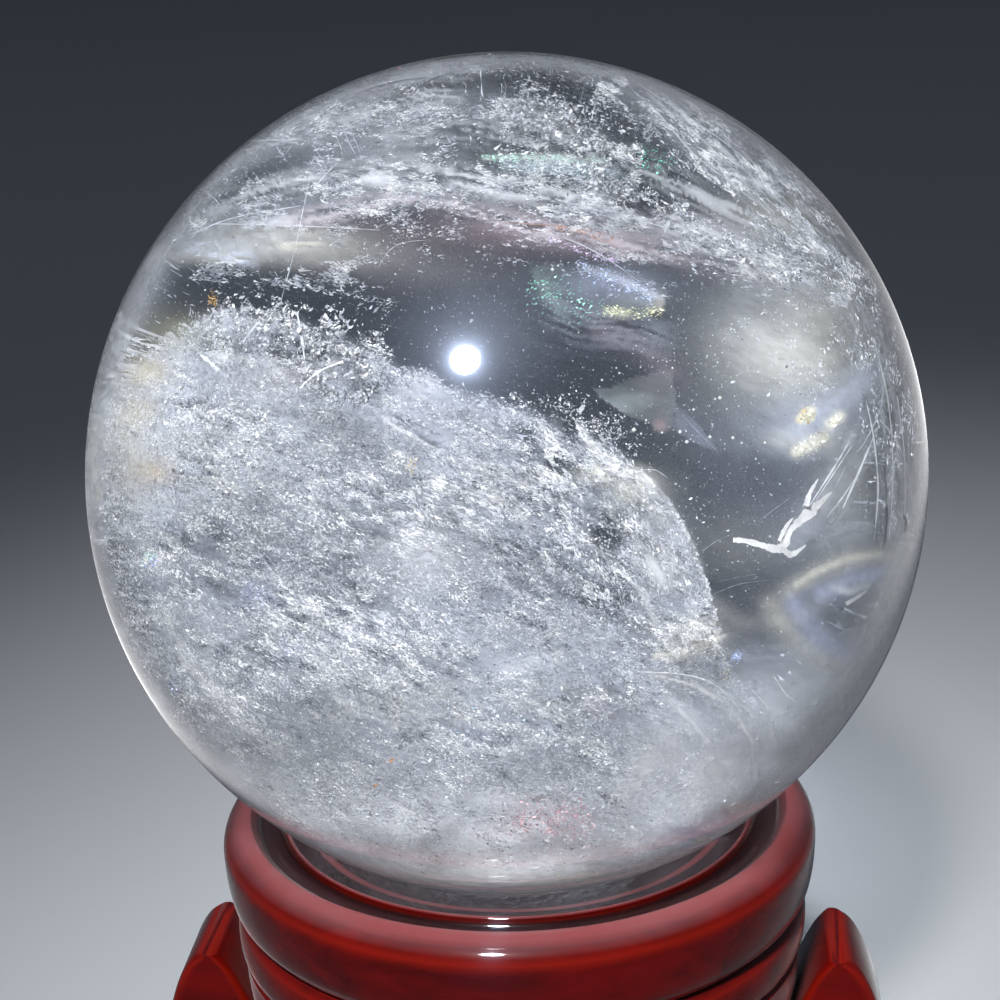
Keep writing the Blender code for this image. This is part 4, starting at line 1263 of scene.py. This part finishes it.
# Needles and the edges of cracks run through the stone as thin bright or dark lines, and one
# white vein branches at the right, flat and thin like a torn leaf.
LINES = (  # path, width in pixels at its middle, near and far share, finish
    (((281, 301), (288, 275), (295, 249)), 1.6, 0.2, 0.3, "bright"),
    (((296, 245), (304, 205), (311, 172)), 1.2, 0.3, 0.36, "bright"),
    (((313, 189), (326, 174), (339, 161)), 1.8, 0.3, 0.32, "bright"),
    (((313, 192), (325, 189), (338, 188)), 2.2, 0.32, 0.32, "bright"),
    (((378, 268), (388, 252), (402, 243), (427, 240)), 0.8, 0.1, 0.1, "bright"),
    (((843, 508), (858, 474), (874, 436)), 4.2, 0.35, 0.4, "white"),
    (((809, 506), (830, 474), (851, 439)), 3.2, 0.35, 0.4, "white"),
    (((816, 500), (836, 470), (853, 444)), 2.0, 0.35, 0.4, "white"),
    (((827, 517), (842, 498), (858, 474)), 2.4, 0.35, 0.4, "white"),
    (((828, 500), (840, 478), (846, 466)), 1.6, 0.4, 0.45, "bright"),
    (((826, 528), (834, 512), (840, 503)), 1.4, 0.4, 0.45, "bright"),
    (((703, 551), (715, 542), (728, 536)), 1.4, 0.3, 0.4, "bright"),
    (((713, 583), (735, 578), (756, 574)), 1.6, 0.3, 0.4, "bright"),
    (((714, 594), (740, 584), (772, 580)), 1.2, 0.3, 0.4, "bright"),
    (((760, 520), (776, 508), (790, 498)), 1.0, 0.5, 0.6, "bright"),
    (((682, 415), (700, 434), (716, 450)), 1.3, 0.3, 0.35, "bright"),
    (((883, 395), (890, 440), (895, 500), (896, 550)), 2.4, 0.4, 0.5, "bright"),
    (((872, 345), (880, 380), (884, 420), (892, 470)), 1.8, 0.4, 0.5, "bright"),
    (((860, 300), (872, 330), (880, 370), (889, 410)), 1.6, 0.35, 0.45, "bright"),
    (((905, 440), (912, 480), (914, 530), (908, 580)), 1.6, 0.4, 0.5, "bright"),
    (((866, 400), (874, 440), (878, 490), (874, 540)), 3.4, 0.3, 0.32, "white"),
    (((874, 340), (888, 400), (893, 470), (889, 540)), 3.0, 0.3, 0.32, "white"),
    (((897, 396), (904, 450), (905, 505), (899, 566)), 3.6, 0.3, 0.32, "white"),
    (((880, 420), (896, 440), (908, 470), (912, 500)), 2.6, 0.3, 0.32, "white"),
    (((884, 462), (887, 510), (883, 556)), 3.2, 0.3, 0.35, "dark"),
    (((872, 520), (884, 560), (886, 600)), 2.6, 0.3, 0.35, "bright"),
    (((857, 452), (866, 440), (880, 410), (884, 380)), 2.4, 0.3, 0.35, "bright"),
    (((640, 672), (670, 673), (700, 678), (722, 690), (742, 712)), 2.0, 0.04, 0.04, "white"),
    (((668, 648), (700, 668), (735, 700), (762, 722)), 1.4, 0.10, 0.10, "white"),
    (((752, 690), (766, 706), (774, 728), (780, 760)), 2.0, 0.10, 0.10, "white"),
    (((774, 676), (786, 694), (800, 704)), 3.2, 0.10, 0.10, "white"),
    (((297, 312), (302, 340), (306, 372)), 4.5, 0.06, 0.07, "bright"),
    (((300, 388), (318, 372), (346, 360)), 4.5, 0.06, 0.07, "bright"),
    (((240, 345), (256, 325), (268, 312)), 2.4, 0.06, 0.07, "bright"),
    (((200, 355), (210, 362), (220, 372)), 9.0, 0.07, 0.08, "bright"),
    (((355, 93), (378, 86), (405, 80), (430, 78)), 2.4, 0.12, 0.2, "dark"),
    (((414, 91), (424, 84), (440, 76), (468, 68)), 2.4, 0.12, 0.2, "dark"),
    (((498, 222), (530, 224), (570, 228), (600, 240), (626, 250)), 1.6, 0.33, 0.36, "rust"),
    (((545, 232), (580, 244), (612, 262), (640, 282)), 1.8, 0.34, 0.38, "bright"),
    (((560, 590), (590, 600), (640, 606), (690, 596)), 1.6, 0.05, 0.08, "dark"),
    (((455, 430), (500, 452), (545, 470), (580, 478)), 1.6, 0.05, 0.06, "dark"),
    (((903, 514), (906, 522), (905, 532)), 6.0, 0.3, 0.32, "dark"),
    (((640, 470), (655, 470), (668, 478)), 2.0, 0.08, 0.1, "bright"),
    (((565, 205), (610, 212), (660, 226), (720, 244), (790, 262), (812, 278)), 2.6, 0.3, 0.4, "bright"),
    (((630, 88), (660, 115), (690, 150), (720, 175), (760, 205)), 2.2, 0.15, 0.25, "bright"),
    (((640, 85), (690, 118), (740, 155), (790, 205), (840, 262)), 1.8, 0.15, 0.25, "bright"),
    (((215, 150), (240, 142), (270, 140), (305, 140)), 2.2, 0.3, 0.35, "bright"),
    (((190, 235), (220, 222), (250, 214), (300, 206)), 2.0, 0.25, 0.3, "bright"),
    (((180, 225), (230, 224), (300, 226), (380, 230)), 1.6, 0.4, 0.45, "bright"),
)
VEIN = (  # path, widths in pixels along it
    (((733, 540), (746, 541), (761, 545), (777, 549), (785, 543), (790, 531), (802, 519), (812, 510),
      (821, 502)), (4, 5, 5, 8, 8, 5, 8, 11, 4)),
    (((781, 547), (789, 554), (795, 553), (806, 545)), (4, 7, 5, 1)),
    (((779, 541), (786, 527), (793, 518)), (3, 4, 1)),
    (((806, 506), (810, 493), (818, 479)), (6, 4, 1)),
    (((816, 508), (826, 497), (832, 492)), (5, 4, 1)),
    (((846, 604), (856, 598), (868, 590)), (4, 3, 1)),
)
VEIN_SHARES = (0.37, 0.375)
VEIN_SHADE = (0.66, 0.66, 0.68, 1)
VEIN_WHITE = (0.90, 0.90, 0.90, 1)
LINE_THINNESS = 0.6
LINE_STEPS = 7  # points that each stretch of a line is given


def ribbon(path, widths, shares, rng, least=0.3):
    """A ragged flat strip along pixels of the picture, as points and four-cornered faces."""
    path, widths = np.array(path, float), np.array(widths, float)
    places = np.linspace(0, len(path) - 1, (len(path) - 1) * LINE_STEPS + 1)
    column = np.minimum(places.astype(int), len(path) - 2)
    part = places - column
    before, after = path[np.maximum(column - 1, 0)], path[np.minimum(column + 2, len(path) - 1)]
    start, end = path[column], path[column + 1]
    t = part[:, None]
    curve = 0.5 * (2 * start + (end - before) * t + (2 * before - 5 * start + 4 * end - after) * t**2
                   + (3 * start - before - 3 * end + after) * t**3)
    way = np.gradient(curve, axis=0)
    way /= np.linalg.norm(way, axis=1, keepdims=True)
    wide = np.interp(places, np.arange(len(widths)), widths) * rng.uniform(least, 1.3, len(places)) / 2
    beside = np.stack((-way[:, 1], way[:, 0]), 1) * wide[:, None]
    edges = np.concatenate((curve - beside, curve + beside))
    share = np.tile(np.linspace(*shares, len(places)), 2)
    count = len(places)
    low = np.arange(count - 1)
    faces = np.stack((low, low + 1, low + 1 + count, low + count), 1)
    return inside(edges[:, 0], edges[:, 1], share), faces


def ribbons_piece(name, ribbons, finishes, kinds=None):
    """One piece of many ribbons, each with the finish that kinds gives it."""
    points, faces, slots, start = [], [], [], 0
    for number, (ribbon_points, ribbon_faces) in enumerate(ribbons):
        points.append(ribbon_points)
        faces.append(ribbon_faces + start)
        slots.append(np.full(len(ribbon_faces), kinds[number] if kinds else 0))
        start += len(ribbon_points)
    in_stone(
        name, held_in(np.concatenate(points)), np.concatenate(faces).ravel(), 4,
        finishes, np.concatenate(slots),
    )


LINE_COLOURS = {
    "bright": (0.62, 0.65, 0.72),
    "dark": (0.16, 0.17, 0.20),
    "rust": (0.42, 0.24, 0.18),
    "white": (0.90, 0.92, 0.95),
}
line_finishes = [fleck_finish(f"line_{kind}", colour, 0.3) for kind, colour in LINE_COLOURS.items()]
line_ribbons, line_kinds = [], []
for path, width, near, far, kind in LINES:
    widths = LINE_THINNESS * width * np.sin(np.pi * np.linspace(0.06, 0.94, len(path))) ** 0.6
    line_ribbons.append(ribbon(path, widths, (near, far), rng))
    line_kinds.append(list(LINE_COLOURS).index(kind))
ribbons_piece("needles", line_ribbons, line_finishes, line_kinds)
vein_white, add, link, shader = nodes_for("vein_white")
flecked = add("ShaderNodeTexNoise", Scale=900.0, Detail=3.0)
link(add("ShaderNodeTexCoord").outputs["Object"], flecked.inputs["Vector"])
vein_tone = two_tones(add, link, flecked.outputs["Fac"], (0.3, VEIN_SHADE), (0.6, VEIN_WHITE))
link(vein_tone, shader.inputs["Base Color"])
shader.inputs["Roughness"].default_value = 0.6
vein_ribbons = [ribbon(path, widths, VEIN_SHARES, rng, 0.85) for path, widths in VEIN]
ribbons_piece("white_vein", vein_ribbons, (vein_white,))

# Three flat cracks catch the light as thin coloured films, like oil on water.
FILMS = (  # outline in the picture, share, dabs of colour
    ("film_middle",
     ((592, 388), (612, 387), (634, 377), (672, 369), (676, 402), (672, 425), (662, 434), (654, 430),
      (650, 424), (624, 414), (600, 398)), 0.42,
     ((640, 400, 70, 60, 0.24, (0.50, 0.54, 0.54)), (600, 392, 30, 20, 0.14, (0.50, 0.60, 0.64)),
      (630, 402, 24, 14, 0.12, (0.48, 0.62, 0.60)),
      (655, 385, 26, 24, 0.20, (0.60, 0.54, 0.60)), (660, 426, 8, 8, 0.35, (0.62, 0.38, 0.40)))),
    ("film_wing",
     ((676, 405), (690, 416), (706, 434), (718, 450), (706, 448), (688, 440), (674, 428)), 0.40,
     ((696, 430, 26, 20, 0.28, (0.50, 0.55, 0.75)),)),
    ("film_upper",
     ((530, 268), (552, 262), (590, 270), (622, 268), (668, 290), (664, 306), (630, 322), (596, 318),
      (560, 306), (538, 292)), 0.5,
     ((555, 288, 30, 16, 0.10, (0.34, 0.58, 0.50)), (600, 285, 30, 12, 0.22, (0.52, 0.60, 0.95)),
      (646, 300, 20, 10, 0.25, (0.80, 0.88, 0.98)), (620, 312, 12, 6, 0.25, (0.80, 0.82, 0.45)),
      (660, 304, 8, 8, 0.25, (0.85, 0.72, 0.45)))),
)
FILM_TINT = (0.5, 0.54, 0.57, 0.15)  # its fourth number is how thick the film is
FILM_LEVEL_DOWN = 400  # each film leans back from here down, by this share of the way for a pixel
FILM_LEAN = 0.0006
film_finish = haze_finish("crack_film", 3.0 * MM, 0.3, 0.6, 0.7)
film_finish.node_tree.nodes["Principled BSDF"].inputs["Roughness"].default_value = 0.35


def within_outline(across, down, outline):
    """Whether pixels lie within an outline, by counting its crossings to one side."""
    inner = np.zeros(len(across), bool)
    for (x0, y0), (x1, y1) in zip(outline, outline[1:] + outline[:1]):
        spans = (y0 > down) != (y1 > down)
        with np.errstate(divide="ignore", invalid="ignore"):
            crossing = (x1 - x0) * (down - y0) / (y1 - y0) + x0
        inner ^= spans & (across < crossing)
    return inner


def film_tints(outline, film_dabs):
    def tint_of(across, down):
        tints = painted(across, down, FILM_TINT, film_dabs, ())
        tints[:, 3] *= within_outline(across, down, outline)
        return tints
    return tint_of


def leaning(share):
    """How far into the stone a film lies, leaning back a little and slightly crumpled."""
    def share_of(across, down):
        crumple = 0.03 * (rough(across, down, 21, 60, 2, 1) - 0.5)
        return share + FILM_LEAN * (down - FILM_LEVEL_DOWN) + crumple
    return share_of


for name, outline, film_share, film_dabs in FILMS:
    haze_sheet(name, leaning(film_share), film_tints(outline, film_dabs), film_finish, 2.5)

# The ball stands on a plain pale board, under one round lamp high to the left of the eye
# and broad soft light from above and from both sides.
LAMP_GLINT = (465, 360)  # where the lamp shines back off the ball's face
LAMP_DISTANCE = 1.0
LAMP_SIZE = 0.13
LAMP_AIM = (0.01, -0.08, 0.09)
LAMP_WATTS = 0.47
LAMP_SPREAD = math.radians(26)
FILLS = (  # name, place, size, watts, spread
    ("fill_left_back", (-1.2, 0.7, 0.8), 0.3, 0.03, math.radians(24)),
    ("fill_right_back", (1.2, 0.7, 0.7), 0.3, 0.03, math.radians(24)),
    ("fill_overhead", (0.0, -0.3, 1.6), 1.2, 1.7, math.pi),
)
FILL_COLOUR = (0.93, 0.96, 1.0)
BOARD_SIZE = 8.0
BOARD_CORNERS = ((-1, -1), (1, -1), (1, 1), (-1, 1))
BOARD_SHADE = (0.40, 0.42, 0.45, 1)
BOARD_LIGHT = (0.45, 0.47, 0.50, 1)
AIR_COLOUR = (0.045, 0.052, 0.065, 1)
BLOOM = (  # the soft glow round the brightest glints
    ("Threshold", 1.6), ("Strength", 0.5), ("Size", 0.35), ("Maximum", 30.0), ("Tint", (0.62, 0.74, 1.0, 1)),
)

glint_at, glint_line = face_at(*LAMP_GLINT)
glint_out = (glint_at - BALL_CENTRE) / BALL_RADIUS
lamp_way = glint_line - 2 * (glint_line @ glint_out) * glint_out


def lamp(name, at, target, size, watts, colour=(1, 1, 1), spread=math.pi):
    light = bpy.data.lights.new(name, "AREA")
    light.shape = "DISK"
    light.size = size
    light.energy = watts
    light.color = colour
    light.spread = spread
    made = bpy.data.objects.new(name, light)
    made.location = at
    made.rotation_euler = (Vector(target) - Vector(at)).to_track_quat("-Z", "Y").to_euler()
    bpy.context.scene.collection.objects.link(made)
    return made


lamp("lamp", glint_at + lamp_way * LAMP_DISTANCE, LAMP_AIM, LAMP_SIZE, LAMP_WATTS, spread=LAMP_SPREAD)
for name, at, size, watts, spread in FILLS:
    fill = lamp(name, at, BALL_CENTRE, size, watts, FILL_COLOUR, spread)
    fill.visible_camera = fill.visible_glossy = fill.visible_transmission = False
board = smooth_mesh(
    "board",
    [(x * BOARD_SIZE, y * BOARD_SIZE, 0) for x, y in BOARD_CORNERS],
    [(0, 1, 2, 3)],
)
paper, add, link, shader = nodes_for("pale_board")
mottle = add("ShaderNodeTexNoise", Scale=3.0, Detail=6.0)
link(add("ShaderNodeTexCoord").outputs["Object"], mottle.inputs["Vector"])
board_tone = two_tones(add, link, mottle.outputs["Fac"], (0.0, BOARD_SHADE), (1.0, BOARD_LIGHT))
link(board_tone, shader.inputs["Base Color"])
shader.inputs["Roughness"].default_value = 0.7
board.data.materials.append(paper)
board.visible_glossy = board.visible_transmission = False  # so the stone stays dark between clouds
board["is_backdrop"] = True
scene = bpy.context.scene
scene.world = bpy.data.worlds.new("dim_air")
scene.world.use_nodes = True
scene.world.node_tree.nodes["Background"].inputs["Color"].default_value = AIR_COLOUR
scene.world.node_tree.nodes["Background"].inputs["Strength"].default_value = 1.0
scene.view_settings.view_transform = "Standard"
scene.use_nodes = True
picture = scene.node_tree
picture.nodes.clear()
taken = picture.nodes.new("CompositorNodeRLayers")
bloom = picture.nodes.new("CompositorNodeGlare")
bloom.glare_type = "BLOOM"
for socket, value in BLOOM:
    bloom.inputs[socket].default_value = value
shown = picture.nodes.new("CompositorNodeComposite")
picture.links.new(taken.outputs["Image"], bloom.inputs["Image"])
picture.links.new(bloom.outputs["Image"], shown.inputs["Image"])
scene.cycles.max_bounces = 6
scene.cycles.diffuse_bounces = 1
scene.cycles.glossy_bounces = 3
scene.cycles.transmission_bounces = 3
scene.cycles.transparent_max_bounces = 10

shown_low, shown_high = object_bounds()
sizes = {"cad": [list(cad_low), list(cad_high)], "visual": [list(shown_low), list(shown_high)]}
